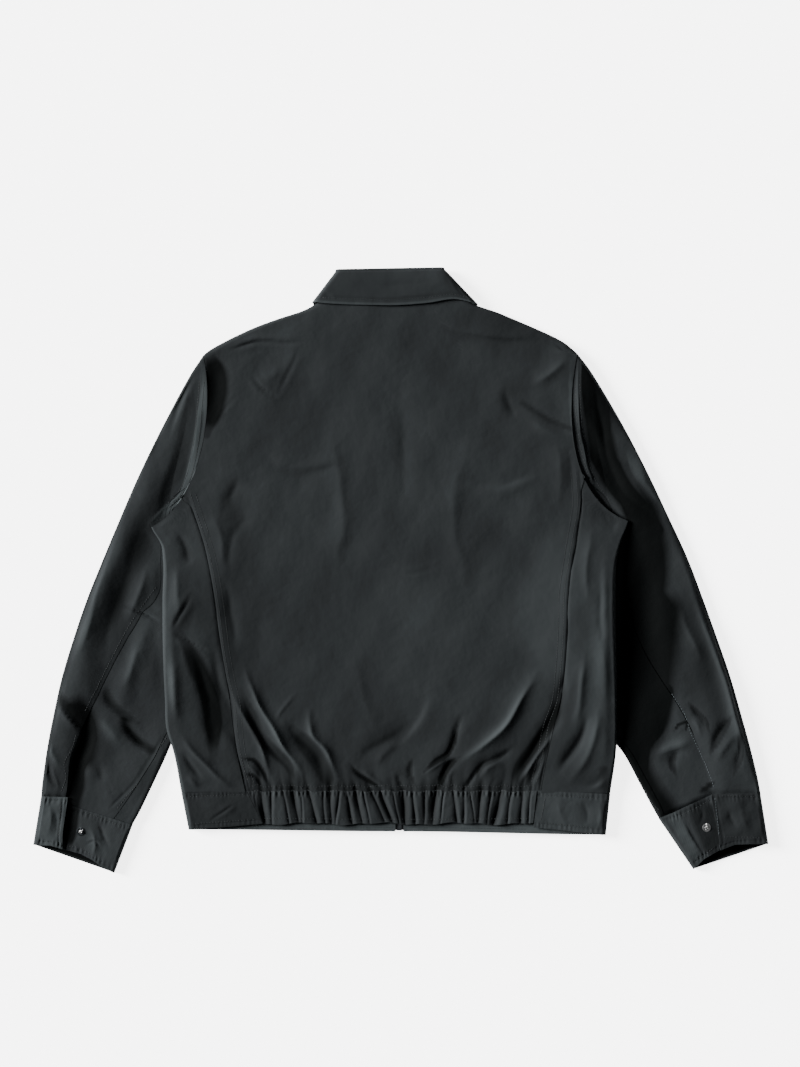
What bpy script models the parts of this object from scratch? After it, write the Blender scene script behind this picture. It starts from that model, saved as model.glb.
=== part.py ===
# Work jacket lying flat with its back up: cloth panels, bands, collar, zip and snap studs.
# Sizes are in millimetres. x runs across the jacket, y from the hem (-) to the collar (+)
# and z up from the table. A height is always that of the cloth's outer side.

import bpy
import bmesh
from math import asin, cos, exp, pi, radians, sin, sqrt
from mathutils import Vector

for old in list(bpy.data.objects):
    bpy.data.objects.remove(old, do_unlink=True)
jacket = bpy.data.collections.new("work_jacket")
cutters = bpy.data.collections.new("joined_shapes")
bpy.context.scene.collection.children.link(jacket)
bpy.context.scene.collection.children.link(cutters)

mm = 0.001

# ---- driving dimensions
cloth_wall = 1.2
band_wall = 1.8          # waistband and cuffs are doubled cloth
collar_wall = 1.4
seam_gap = 0.7           # between two sewn edges, measured along x or y
sleeve_gap = 0.9         # the same along a sleeve's seams, where the cloth slopes
zip_x = -2.0             # centre line of the zip
zip_half_gap = 5.0       # from the zip's centre line to a front's edge
waist_y = -276.0         # seam between the panels and the waistband
neck_top_y = 335.6       # back neck seam
neck_drop = 48.0         # front neck below the back neck
neck_half = {"left": 98.0, "right": 84.0}
elastic_hem_y = -318.0
hem_y = -328.0           # bottom edge of the band at the front
stud_radius = 5.2
centring = Vector((0.25, 1.0, 0.0))     # moves the finished pieces so that the origin is in their middle

colours = {
    "cloth": (0.030, 0.034, 0.036, 1.0),
    "band": (0.034, 0.038, 0.040, 1.0),
    "tape": (0.020, 0.022, 0.023, 1.0),
    "metal": (0.55, 0.55, 0.54, 1.0),
}


def table(columns, *rows):
    names = columns.split()
    return [dict(zip(names, row)) for row in rows]


def read(rows, key, at, column):
    """Value of a column where the key column reaches at, between rows in a straight line."""
    if at <= rows[0][key]:
        return rows[0][column]
    for low, high in zip(rows, rows[1:]):
        if at <= high[key]:
            part = (at - low[key]) / (high[key] - low[key])
            return mix(low[column], high[column], part)
    return rows[-1][column]


def mix(a, b, part):
    return a + (b - a) * part


def smooth(low, high, value):
    part = min(max((value - low) / (high - low), 0.0), 1.0)
    return part * part * (3.0 - 2.0 * part)


def bezier(corners, t):
    a, b, c, d = corners
    return a * (1 - t) ** 3 + 3 * b * t * (1 - t) ** 2 + 3 * c * t * t * (1 - t) + d * t ** 3


# ---- the jacket's outline, a row for each place where its direction changes
side_lines = {
    "left": table(
        "y side seam",
        (-279.0, -275.0, -194.0),
        (-226.0, -285.0, -205.0),
        (-200.0, -293.0, -209.0),
        (-163.0, -295.0, -213.5),
        (-100.0, -297.5, -224.0),
        (-38.0, -298.0, -233.0),
        (12.0, -297.5, -241.5),
        (31.0, -300.0, -246.0),
        (53.0, -311.0, -253.0),
        (93.0, -311.0, -267.0),
    ),
    "right": table(
        "y side seam",
        (-280.0, 262.0, 174.0),
        (-226.0, 269.0, 184.0),
        (-200.0, 270.0, 190.0),
        (-163.0, 270.0, 199.0),
        (-100.0, 269.0, 206.0),
        (-38.0, 268.0, 208.0),
        (12.0, 270.0, 214.0),
        (31.0, 274.0, 218.0),
        (60.0, 285.0, 222.0),
        (121.0, 285.0, 227.0),
    ),
}
armhole_curve = {
    "left": [Vector(p) for p in ((-247.5, 268.0), (-232.5, 212.0), (-245.0, 87.0), (-312.5, 53.0))],
    "right": [Vector(p) for p in ((221.0, 270.0), (209.0, 218.0), (200.0, 90.5), (285.0, 60.6))],
}
front_scoop = 8.0        # how much deeper the front armhole is cut
shoulder_lines = {
    "left": table("y x", (268.0, -247.5), (274.0, -240.0), (284.0, -222.5), (294.0, -202.5),
                  (304.0, -180.0), (314.0, -152.5), (324.0, -122.0), (330.0, -110.0), (336.0, -104.0)),
    "right": table("y x", (270.0, 221.0), (276.0, 214.0), (284.0, 204.0), (294.0, 185.0),
                   (304.0, 162.5), (314.0, 139.0), (324.0, 114.0), (330.0, 94.0), (336.0, 87.0)),
}

# heights of the body's two layers, in the middle and at the sides, where they ride over the sleeves
body_heights = table(
    "y front_mid front_side back_mid back_side",
    (-279.0, 0.0, 0.0, 11.5, 11.5),
    (-226.0, 0.0, 7.4, 12.5, 14.8),
    (-205.0, 0.0, 8.0, 13.0, 15.6),
    (25.0, 0.0, 8.0, 13.5, 15.6),
    (53.0, 0.0, 7.4, 13.5, 11.0),
    (190.0, 0.0, 7.4, 13.0, 11.0),
    (240.0, 3.0, 7.4, 12.6, 11.0),
    (287.0, 4.2, 7.4, 12.0, 11.0),
    (336.0, 4.2, 7.4, 11.3, 11.0),
)
# heights round the armhole, from the shoulder (0) to the armpit (1)
armhole_heights = table(
    "t back sleeve_top front sleeve_bottom",
    (0.0, 12.0, 12.0, 2.0, 2.0),
    (0.3, 13.0, 12.5, 0.8, 0.8),
    (0.5, 13.0, 12.0, 0.8, 0.4),
    (0.65, 13.0, 9.5, 3.0, 0.4),
    (0.77, 12.4, 6.2, 7.2, 0.4),
    (1.0, 11.0, 6.2, 7.4, 0.4),
)
lift_full = 68.0         # the front stays lifted over the sleeve this far in from the side
lift_none = 115.0
sag_start = 40.0         # the back sags from its sides to its middle between these
sag_end = 130.0

# the largest folds of the back: a ridge (+) or trough (-) from one end to the other
big_folds = table(
    "x1 y1 x2 y2 width height",
    (-190.0, -118.0, -118.0, -268.0, 7.0, 3.0),
    (-200.0, -150.0, -140.0, -262.0, 8.0, -3.0),
    (-109.0, -178.0, -71.0, -268.0, 8.0, 2.6),
    (-128.0, -198.0, -94.0, -264.0, 7.0, -2.4),
    (165.0, -124.0, 81.0, -240.0, 8.0, 3.0),
    (201.0, -112.0, 140.0, -268.0, 9.0, -3.2),
    (230.0, -112.0, 206.0, -200.0, 9.0, 2.4),
    (-235.0, -118.0, -238.0, -222.0, 15.0, -4.0),
    (-232.0, 252.0, -230.0, 184.0, 10.0, -5.0),
)

# shared rows of the body panels: up to the armpit, round the armhole, along the shoulder
side_steps = (0.0, 0.06, 0.14, 0.24, 0.37, 0.53, 0.7, 0.86, 0.94, 1.0)
armhole_steps = (1.0, 0.9, 0.77, 0.65, 0.5, 0.35, 0.2, 0.08, 0.0)
shoulder_steps = (0.0, 0.25, 0.5, 0.75, 0.92, 1.0)
armpit_row = len(side_steps) - 1
shoulder_row = armpit_row + len(armhole_steps) - 1
body_rows = shoulder_row + len(shoulder_steps)
seam_top_row = {"left": armpit_row + 2, "right": armpit_row + 3}
shoulder_gap = 1.1       # half the gap between back and front where they meet on a shoulder
edge_steps = (0.0, 1.6, 6.0, 12.0)     # columns that round a panel's edge over a shoulder
edge_most = 0.7          # the largest part of a short row that the rounding takes
fold_angles = [radians(a) for a in (-50, 0, 50)]
outward = {"left": -1.0, "right": 1.0}


def cloth(name, colour, size, place, wall, keep=None, flip=False):
    """A grid moved onto the cloth's outer side, point by point, then given its wall."""
    columns, rows = size
    mesh = bpy.data.meshes.new(name)
    grid = bmesh.new()
    bmesh.ops.create_grid(grid, x_segments=columns - 1, y_segments=rows - 1, size=1.0)
    cells = {}
    for face in grid.faces:
        centre = face.calc_center_median()
        cells[face] = (int((centre.x + 1) / 2 * (columns - 1)), int((centre.y + 1) / 2 * (rows - 1)))
    for vert in grid.verts:
        i = round((vert.co.x + 1) / 2 * (columns - 1))
        j = round((vert.co.y + 1) / 2 * (rows - 1))
        vert.co = (Vector(place(i, j)) + centring) * mm
    if keep:
        dropped = [face for face, (i, j) in cells.items() if not keep(i, j)]
        bmesh.ops.delete(grid, geom=dropped, context="FACES")
    if flip:
        bmesh.ops.reverse_faces(grid, faces=grid.faces)
    grid.to_mesh(mesh)
    grid.free()
    piece = bpy.data.objects.new(name, mesh)
    jacket.objects.link(piece)
    thickness = piece.modifiers.new("wall", "SOLIDIFY")
    thickness.thickness = wall * mm
    thickness.offset = -1.0
    thickness.use_quality_normals = True
    finish(piece, colour)
    return piece


def finish(piece, colour):
    material = bpy.data.materials.new(piece.name)
    material.use_nodes = True
    shader = material.node_tree.nodes["Principled BSDF"]
    shader.inputs["Base Color"].default_value = colours[colour]
    shader.inputs["Roughness"].default_value = 0.35 if colour == "metal" else 0.75
    shader.inputs["Metallic"].default_value = 1.0 if colour == "metal" else 0.0
    piece.data.materials.clear()
    piece.data.materials.append(material)
    piece.data.shade_smooth()
    piece.data.set_sharp_from_angle(angle=radians(40))


# ---- body panels
def armhole_point(side, t, front):
    point = bezier(armhole_curve[side], t)
    inward = -outward[side]
    scoop = front_scoop * sin(pi * t) if front else 0.0
    return Vector((point.x + inward * scoop, point.y))


def outer_point(side, row, front=False):
    """Where a row of the body meets its side, its armhole or its shoulder."""
    if row <= armpit_row:
        lines = side_lines[side]
        tip = armhole_curve[side][3]
        y = mix(lines[0]["y"], tip.y, side_steps[row])
        x = read(lines, "y", y, "side") if row < armpit_row else tip.x
        return Vector((x, y))
    if row <= shoulder_row:
        t = armhole_steps[row - armpit_row]
        point = armhole_point(side, t, front)
        return Vector((point.x - outward[side] * seam_gap / 2, point.y))
    lines = shoulder_lines[side]
    y = mix(lines[0]["y"], lines[-1]["y"], shoulder_steps[row - shoulder_row])
    return Vector((read(lines, "y", y, "x"), y))


def seam_point(side, row):
    """Where a row of the body meets the side-back seam, or above it the armhole."""
    outer = outer_point(side, row)
    if row > seam_top_row[side]:
        return outer
    x = read(side_lines[side], "y", outer.y, "seam")
    if row == seam_top_row[side]:
        x = outer.x - outward[side] * 3.0
    y = waist_y if row == 0 else outer.y
    return Vector((x, y))


def inner_point(side, row):
    """Where a row of a front meets the zip or the neck."""
    if row <= shoulder_row:
        low = outer_point(side, 0).y
        high = outer_point(side, shoulder_row).y
        progress = (outer_point(side, row).y - low) / (high - low)
        y = mix(waist_y, neck_point(side, 0.0).y, progress)
        return Vector((zip_x + outward[side] * zip_half_gap, y))
    return neck_point(side, shoulder_steps[row - shoulder_row])


def neck_point(side, part, inset=0.0):
    """A point on the front neck seam, from the zip (0) to the shoulder (1)."""
    across = neck_half[side] - inset
    start = asin(zip_half_gap / neck_half[side])
    angle = mix(start, pi / 2, part)
    drop = neck_drop - inset
    return Vector((zip_x + outward[side] * across * sin(angle), neck_top_y - drop * cos(angle)))


def side_height(side, row, layer):
    """Height of the front or back layer at the side, armhole or shoulder."""
    if row < armpit_row:
        return read(body_heights, "y", outer_point(side, row).y, layer + "_side")
    if row <= shoulder_row:
        return read(armhole_heights, "t", armhole_steps[row - armpit_row], layer)
    part = shoulder_steps[row - shoulder_row]
    neck = read(body_heights, "y", neck_top_y, layer + "_mid")
    return mix(armhole_heights[0][layer], neck, part)


def fold_height(x, y):
    total = 0.0
    for fold in big_folds:
        start = Vector((fold["x1"], fold["y1"]))
        along = Vector((fold["x2"], fold["y2"])) - start
        offset = Vector((x, y)) - start
        part = min(max(offset.dot(along) / along.length_squared, 0.0), 1.0)
        away = (offset - along * part).length
        total += fold["height"] * exp(-(away / fold["width"]) ** 2) * smooth(0.0, 0.35, part)
    return total


def layer_height(x, y, row, layer, near, far):
    middle = read(body_heights, "y", y, layer + "_mid")
    height = middle
    for side in ("left", "right"):
        away = abs(x - outer_point(side, row).x)
        weight = 1.0 - smooth(near, far, away)
        height += (side_height(side, row, layer) - middle) * weight
    return height


def back_height(x, y, row):
    fade = smooth(waist_y, waist_y + 8.0, y)
    return layer_height(x, y, row, "back", sag_start, sag_end) + fold_height(x, y) * fade


def front_height(x, y, row):
    return layer_height(x, y, row, "front", lift_full, lift_none)


def edge_rise(row, distance):
    """How far the cloth has risen from the middle of a shoulder's rounded edge."""
    if row < shoulder_row:
        return 1.0
    round_in = edge_steps[-1]
    return sqrt(max(1.0 - (1.0 - min(distance, round_in) / round_in) ** 2, 0.0))


def shoulder_height(side, row, height, distance, up):
    middle = (side_height(side, row, "back") + side_height(side, row, "front")) / 2
    rise = edge_rise(row, distance)
    if rise == 0.0:
        return middle + up * shoulder_gap
    return mix(middle, height, rise)


def waist_line(part, side_y):
    """The waist seam's y from the zip (0) to a side fold (1), which hangs a little lower."""
    return mix(waist_y, side_y, smooth(0.0, 1.0, part))


def build_back():
    middle = 15
    edges = len(edge_steps)
    columns = 2 * edges + middle - 1

    def place(i, j):
        left, right = seam_point("left", j), seam_point("right", j)
        across = right - left
        inset = edge_steps[-1] / across.length
        if i < edges:
            part, side, distance = edge_steps[i] / across.length, "left", edge_steps[i]
        elif i >= columns - edges:
            distance = edge_steps[columns - 1 - i]
            part, side = 1.0 - distance / across.length, "right"
        else:
            part = mix(inset, 1.0 - inset, (i - edges + 1) / middle)
            distance = edge_steps[-1]
            side = "left"
        point = left + across * part
        if j == 0:
            point.y = waist_y
        height = back_height(point.x, point.y, j)
        if i < edges or i >= columns - edges:
            height = shoulder_height(side, j, height, distance, 1.0)
        return point.x, point.y, height

    cloth("back", "cloth", (columns, body_rows), place, cloth_wall)


def build_front(side):
    inner_steps = (0.0, 0.25, 0.48, 0.62, 0.74, 0.87)
    under_last = len(inner_steps) + len(edge_steps) - 1
    top_first = under_last + len(fold_angles) + 1
    top_steps = (0.0, 0.5, 1.0)
    columns = top_first + len(top_steps)
    sign = outward[side]

    def fold_radius(j):
        return (side_height(side, j, "back") - side_height(side, j, "front")) / 2

    def place(i, j):
        outer = outer_point(side, j, front=True)
        radius = fold_radius(j)
        if i <= under_last:
            inner = inner_point(side, j)
            end = outer - Vector((sign * radius, 0)) if j <= armpit_row else outer
            across = end - inner
            inset = min(edge_steps[-1] / across.length, edge_most)
            if i < len(inner_steps):
                distance = edge_steps[-1]
                point = inner + across * inner_steps[i] * (1.0 - inset)
            else:
                distance = edge_steps[under_last - i]
                point = inner + across * (1.0 - inset * distance / edge_steps[-1])
            if j == 0:
                point.y = waist_line(point.x / outer.x, outer.y)
            height = front_height(point.x, point.y, j)
            height = shoulder_height(side, j, height, distance, -1.0)
            return point.x, point.y, height
        if i < top_first:
            angle = fold_angles[i - under_last - 1]
            low = side_height(side, j, "front")
            return (outer.x - sign * radius * (1.0 - cos(angle)), outer.y,
                    low + radius * (1.0 + sin(angle)))
        armhole_side = outer_point(side, j)
        start = armhole_side - Vector((sign * radius, 0)) if j <= armpit_row else armhole_side
        end = seam_point(side, min(j, seam_top_row[side])) + Vector((sign * seam_gap, 0))
        point = start.lerp(end, top_steps[i - top_first])
        return point.x, point.y, back_height(point.x, point.y, j)

    def keep(i, j):
        if i < under_last:
            return True
        if i < top_first:
            return j < armpit_row
        return j < seam_top_row[side]

    cloth("front_" + side, "cloth", (columns, body_rows), place, cloth_wall, keep, flip=side == "right")


# ---- sleeves: each row runs from the outer fold to the inner fold, bent by two points between
sleeve_columns = ("outer_x outer_y bend_x bend_y turn_x turn_y inner_x inner_y "
                  "back_seam inseam lap outer_height inner_height")
sleeve_rows = {
    "left": table(
        sleeve_columns,
        (-247.5, 268.0, -236.0, 224.9, -240.7, 140.9, -274.3, 88.9, 0.84, 0.93, 0.0, 12.0, 6.2),
        (-267.5, 237.0, -256.0, 178.0, -300.0, 100.0, -286.0, 70.0, 0.86, 0.94, 0.0, 11.0, 6.3),
        (-301.0, 174.0, -293.0, 110.0, -322.0, 58.0, -285.0, 44.0, 0.86, 0.94, 0.0, 10.0, 6.5),
        (-330.0, 114.0, -331.0, 62.0, -318.0, 14.0, -270.0, 0.0, 0.74, 0.94, 0.0, 9.0, 7.1),
        (-356.0, 54.0, -345.0, -7.0, -295.0, -48.0, -235.0, -73.0, 0.57, 0.94, 0.0, 8.4, 7.1),
        (-376.0, 6.0, -345.0, -44.0, -289.0, -88.0, -236.0, -107.0, 0.43, 0.94, 0.0, 8.0, 7.1),
        (-394.0, -39.0, -351.0, -82.0, -295.0, -119.0, -245.0, -142.0, 0.37, 0.94, 0.0, 8.0, 7.1),
        (-410.0, -86.0, -360.0, -117.0, -311.0, -147.0, -261.0, -178.0, 0.336, 0.94, 0.0, 8.0, 7.1),
        (-425.0, -136.0, -377.0, -159.0, -329.0, -183.0, -282.0, -207.0, 0.316, 0.935, 0.0, 8.2, 7.2),
        (-436.0, -186.0, -390.0, -204.0, -343.0, -222.0, -297.5, -241.0, 0.26, 0.92, 0.0, 9.6, 7.6),
        (-443.5, -226.0, -400.0, -242.0, -357.0, -259.0, -313.5, -275.0, 0.225, 0.88, 5.0, 10.4, 8.2),
        (-449.0, -266.0, -408.0, -278.0, -367.0, -290.0, -326.0, -301.0, 0.255, 0.83, 7.0, 11.0, 8.2),
        (-450.5, -283.0, -412.0, -294.0, -374.0, -307.0, -336.0, -319.0, 0.26, 0.80, 8.0, 11.2, 8.2),
    ),
    "right": table(
        sleeve_columns,
        (221.0, 270.0, 211.8, 230.0, 204.3, 145.1, 240.2, 94.6, 0.84, 0.93, 0.0, 12.0, 6.2),
        (241.0, 243.0, 226.0, 178.0, 270.0, 104.0, 253.5, 73.0, 0.86, 0.94, 0.0, 11.0, 6.3),
        (276.0, 184.0, 266.0, 113.0, 294.0, 60.0, 255.0, 46.0, 0.86, 0.94, 0.0, 10.0, 6.5),
        (307.5, 124.0, 307.0, 65.0, 291.0, 14.0, 241.0, 1.0, 0.76, 0.94, 0.0, 9.0, 7.1),
        (335.0, 66.0, 324.0, -1.0, 274.0, -48.0, 210.0, -78.0, 0.62, 0.95, 0.0, 8.4, 7.1),
        (359.0, 14.0, 329.0, -38.0, 271.0, -88.0, 211.0, -113.0, 0.54, 0.95, 0.0, 8.0, 7.1),
        (378.0, -36.0, 334.0, -78.0, 276.0, -123.0, 220.0, -150.5, 0.5, 0.95, 0.0, 8.0, 7.1),
        (396.0, -86.0, 343.0, -119.0, 289.0, -152.0, 236.0, -185.5, 0.46, 0.95, 0.0, 8.0, 7.1),
        (412.5, -134.0, 361.0, -158.0, 310.0, -182.0, 258.0, -207.0, 0.44, 0.95, 0.0, 8.2, 7.2),
        (426.0, -181.0, 377.0, -197.0, 328.0, -214.0, 279.0, -231.0, 0.42, 0.945, 0.0, 9.6, 7.6),
        (437.5, -223.0, 391.0, -238.0, 345.0, -253.0, 299.0, -268.0, 0.42, 0.935, 5.0, 10.4, 8.2),
        (446.0, -258.0, 402.0, -271.0, 358.0, -283.0, 314.0, -296.0, 0.434, 0.93, 7.0, 11.0, 8.2),
        (450.0, -279.0, 407.5, -290.0, 365.0, -300.0, 322.5, -311.0, 0.46, 0.94, 8.0, 11.2, 8.2),
    ),
}
sleeve_steps = (0.0, 1.0, 2.0, 3.0, 4.0, 5.0, 6.5, 8.0, 9.0, 10.0, 11.0, 12.0)
sleeve_slope = (0.3, 0.6)    # the part of a row over which its top sinks to the inner height
sewn_part = 0.77         # the sleeve is sewn this far down the armhole; below, its fold lies under the body
lap_steps = (8.0, 9.0)   # rows over which the under sleeve sinks to pass under the placket


def sleeve_row(side, step):
    """The sleeve's row at a step between two rows of its table."""
    rows = sleeve_rows[side]
    low = min(int(step), len(rows) - 2)
    part = step - low
    return {key: mix(rows[low][key], rows[low + 1][key], part) for key in rows[0]}


def sleeve_curve(row):
    return [Vector((row[end + "_x"], row[end + "_y"])) for end in ("outer", "bend", "turn", "inner")]


def sleeve_top(side, step, row, t):
    height = mix(row["outer_height"], row["inner_height"], smooth(*sleeve_slope, t))
    ring = read(armhole_heights, "t", t * sewn_part, "sleeve_top")
    return mix(ring, height, min(step, 1.0))


def sleeve_bottom(step, t):
    return read(armhole_heights, "t", t * sewn_part, "sleeve_bottom") * (1.0 - min(step, 1.0))


def sleeve_point(side, step, t, layer, angle=None, end="outer"):
    """A point of the sleeve's tube: on a layer at t, or at an angle round one of its folds."""
    row = sleeve_row(side, step)
    curve = sleeve_curve(row)
    top_edge, low_edge = (0.0, 0.0) if end == "outer" else (1.0, 1.0)
    if angle is not None:
        top = sleeve_top(side, step, row, top_edge)
        low = sleeve_bottom(step, low_edge)
        radius = (top - low) / 2
        tangent = (curve[1] - curve[0]) if end == "outer" else (curve[2] - curve[3])
        point = (curve[0] if end == "outer" else curve[3]) + tangent.normalized() * radius * (1.0 - cos(angle))
        height = low + radius * (1.0 + sin(angle))
    else:
        point = bezier(curve, t)
        height = sleeve_top(side, step, row, t) if layer == "top" else sleeve_bottom(step, t)
    if layer == "bottom":
        shift = front_scoop * sin(pi * t * sewn_part) * max(1.0 - step, 0.0)
        point = point - Vector((outward[side] * shift, 0))
    if step == 0.0:
        point = point + Vector((outward[side] * seam_gap / 2, 0))
    return point.x, point.y, height


def build_upper_sleeve(side):
    parts = [t / sewn_part for t in sorted(armhole_steps) if 0.0 < t < sewn_part]
    around = [("top", part / parts[-1]) for part in reversed(parts)]
    around += [("outer", angle) for angle in (pi / 2, *reversed(fold_angles), -pi / 2)]
    around += [("bottom", part) for part in parts]
    around += [("inner", angle) for angle in (-pi / 2, *fold_angles, pi / 2)]
    around += [("inseam", 1.0)]

    def place(i, j):
        step = sleeve_steps[j]
        row = sleeve_row(side, step)
        kind, value = around[i]
        if kind == "top":
            return sleeve_point(side, step, value * row["back_seam"], "top")
        if kind == "bottom":
            return sleeve_point(side, step, value, "bottom")
        if kind == "inseam":
            return sleeve_point(side, step, row["inseam"], "top")
        return sleeve_point(side, step, 0.0 if kind == "outer" else 1.0, "fold", value, kind)

    cloth("sleeve_upper_" + side, "cloth", (len(around), len(sleeve_steps)), place, cloth_wall,
          flip=side == "right")


def build_under_sleeve(side):
    across = (0.0, 0.3, 0.65, 1.0)

    def place(i, j):
        step = sleeve_steps[j]
        row = sleeve_row(side, step)
        curve = sleeve_curve(row)
        gap = sleeve_gap / (3.0 * (curve[3] - curve[2]).length)
        lap = row["lap"] / (3.0 * (curve[1] - curve[0]).length)
        start = row["back_seam"] + gap - lap
        t = mix(start, row["inseam"] - gap, across[i])
        x, y, height = sleeve_point(side, step, t, "top")
        return x, y, mix(height, row["inner_height"], smooth(*lap_steps, step))

    cloth("sleeve_under_" + side, "cloth", (len(across), len(sleeve_steps)), place, cloth_wall,
          flip=side == "left")


# ---- cuffs: a flat band whose flap laps over its other end
cuff_lines = {
    "left": table("end outer_x outer_y inner_x inner_y flap under outer_height inner_height",
                  (0.0, -450.5, -283.6, -336.0, -319.6, 0.27, 0.17, 11.2, 8.2),
                  (1.0, -460.5, -344.5, -359.0, -380.0, 0.34, 0.22, 11.2, 8.2)),
    "right": table("end outer_x outer_y inner_x inner_y flap under outer_height inner_height",
                   (0.0, 450.0, -279.6, 322.5, -311.6, 0.46, 0.38, 11.2, 8.2),
                   (1.0, 460.0, -343.5, 366.0, -375.5, 0.60, 0.52, 11.2, 8.2)),
}
cuff_steps = (0.0, 0.5, 1.0)
mouth_sag = 9.0          # the top layer's hem lies this far back from the lower layer's


def cuff_point(side, along, kind, value):
    low, high = cuff_lines[side]
    row = {key: mix(low[key], high[key], along) for key in low}
    outer = Vector((row["outer_x"], row["outer_y"]))
    inner = Vector((row["inner_x"], row["inner_y"]))
    across = inner - outer
    down = Vector((outward[side] * across.y, -outward[side] * across.x)).normalized()
    if kind in ("outer", "inner"):
        top = row[kind + "_height"]
        radius = top / 2
        inset = across.normalized() * radius * (1.0 - cos(value))
        point = outer + inset if kind == "outer" else inner - inset
        return point.x, point.y, radius * (1.0 + sin(value))
    point = outer + across * value
    if kind == "bottom":
        return point.x, point.y, 0.0
    point = point - down * mouth_sag * along ** 4 * sin(pi * value)
    height = row["outer_height"] if kind == "flap" else row["inner_height"]
    return point.x, point.y, height


def build_cuff(side):
    low, high = cuff_lines[side]
    around = [("flap", part) for part in (1.0, 0.66, 0.33)]
    around += [("outer", angle) for angle in (pi / 2, *reversed(fold_angles), -pi / 2)]
    around += [("bottom", part) for part in (0.1, 0.3, 0.5, 0.7, 0.9)]
    around += [("inner", angle) for angle in (-pi / 2, *fold_angles, pi / 2)]
    around += [("under", part) for part in (0.9, 0.7, 0.5, 0.25, 0.0)]

    def place(i, j):
        along = cuff_steps[j]
        kind, value = around[i]
        if kind == "flap":
            value = value * mix(low["flap"], high["flap"], along)
        if kind == "under":
            value = mix(mix(low["under"], high["under"], along), 1.0, value)
        return cuff_point(side, along, kind, value)

    cloth("cuff_" + side, "band", (len(around), len(cuff_steps)), place, band_wall, flip=side == "right")


# ---- waistband
elastic_ends = table("along left right", (0.0, -193.0, 170.0), (1.0, -173.0, 165.5))
gather_spacing = 12.4
gather_depth = 1.5
band_lines = {
    "left": table("along side y_side y_elastic side_height", (0.0, -275.0, -279.6, -276.6, 11.5),
                  (1.0, -266.0, -325.5, -318.0, 10.5)),
    "right": table("along side y_side y_elastic side_height", (0.0, 262.0, -280.6, -276.6, 11.5),
                   (1.0, 256.5, -332.0, -322.5, 10.5)),
}
band_height = 11.5


def gather(x):
    turn = x / gather_spacing + 0.32 * sin(x / 23.0) + 0.22 * sin(x / 8.7 + 1.0)
    return sin(2.0 * pi * turn) * (0.75 + 0.25 * sin(x / 31.0 + 2.0))


def build_elastic():
    per_gather = 3
    width = elastic_ends[0]["right"] - elastic_ends[0]["left"]
    columns = int(width / gather_spacing * per_gather) + 1
    steps = (0.0, 0.4, 1.0)

    def place(i, j):
        along = steps[j]
        left, right = (read(elastic_ends, "along", along, end) for end in ("left", "right"))
        x = mix(left + seam_gap / 2, right - seam_gap / 2, i / (columns - 1))
        part = i / (columns - 1)
        ends = smooth(0.0, 0.05, part) * smooth(0.0, 0.05, 1.0 - part)
        rise = gather(elastic_ends[0]["left"] + width * part) * gather_depth * ends
        rise *= smooth(0.0, 0.3, along) * (1.0 - 0.4 * along)
        return x, mix(waist_y - seam_gap, elastic_hem_y, along), band_height - along + rise

    cloth("waistband_back", "band", (columns, len(steps)), place, band_wall, flip=True)


def build_band(side):
    sign = outward[side]
    lines = band_lines[side]
    steps = (0.0, 0.5, 1.0)
    around = [("top", part) for part in (0.0, 0.35, 0.7)]
    around += [("fold", angle) for angle in (pi / 2, *reversed(fold_angles), -pi / 2)]
    around += [("bottom", part) for part in (0.1, 0.25, 0.4, 0.55, 0.7, 0.85, 1.0)]

    def place(i, j):
        along = steps[j]
        row = {key: mix(lines[0][key], lines[1][key], along) for key in lines[0]}
        kind, value = around[i]
        radius = row["side_height"] / 2
        height = band_height - along
        elastic_x = read(elastic_ends, "along", along, side) + sign * seam_gap / 2
        fold_x = row["side"] - sign * radius
        if kind == "top":
            return (mix(elastic_x, fold_x, value), mix(row["y_elastic"], row["y_side"], value),
                    mix(height, row["side_height"], value))
        if kind == "fold":
            return row["side"] - sign * radius * (1.0 - cos(value)), row["y_side"], radius * (1.0 + sin(value))
        zip_y = mix(waist_y - seam_gap, hem_y, along)
        x = mix(fold_x, zip_x + sign * zip_half_gap, value)
        return x, mix(zip_y, row["y_side"], smooth(0.0, 1.0, x / row["side"])), 0.0

    cloth("waistband_" + side, "band", (len(around), len(steps)), place, band_wall, flip=side == "right")


# ---- collar: both parts are loops that start and end at the zip
stand_heights = (11.3, 4.2, 3.5)     # top layer, low layer and the radius of its side folds
fall_lines = table(
    "line side_part top low radius",
    (0.0, 0.42, 9.9, 5.6, 2.2),
    (1.0, 0.75, 10.5, 5.0, 2.8),
    (2.0, 1.0, 12.05, 2.8, 4.6),
    (3.0, 1.03, 13.6, 0.6, 5.6),
    (4.0, 1.1, 14.2, 0.0, 6.2),
    (5.0, 1.5, 14.2, 0.0, 6.4),
    (6.0, 2.0, 13.6, 0.0, 6.4),
)
fall_edge = table("x y", (-111.0, 334.4), (-89.0, 332.5), (-36.0, 330.6), (-1.0, 330.6),
                  (36.0, 333.7), (67.0, 338.0), (96.0, 332.0))
collar_curves = {
    "stand_top": {"left": (-82.0, 368.8), "right": (54.5, 370.4), "drop": 56.0},
    "fold": {"left": (-80.0, 375.6), "right": (52.5, 378.0), "drop": 56.0},
    "edge": {"left": (-111.3, 334.4), "right": (96.3, 332.0)},
}
collar_points = {"left": (-62.0, 254.0), "right": (58.0, 254.0)}
collar_back_steps = (0.12, 0.36, 0.62, 0.86)


def collar_around():
    """Columns of the collar's loop: left front, left side, back, right side, right front."""
    around = [("front_left", part) for part in shoulder_steps[:-1]]
    around += [("side_left", angle) for angle in (-pi / 2, *fold_angles, pi / 2)]
    around += [("back", part) for part in collar_back_steps]
    around += [("side_right", angle) for angle in (pi / 2, *reversed(fold_angles), -pi / 2)]
    around += [("front_right", part) for part in reversed(shoulder_steps[:-1])]
    return around


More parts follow.
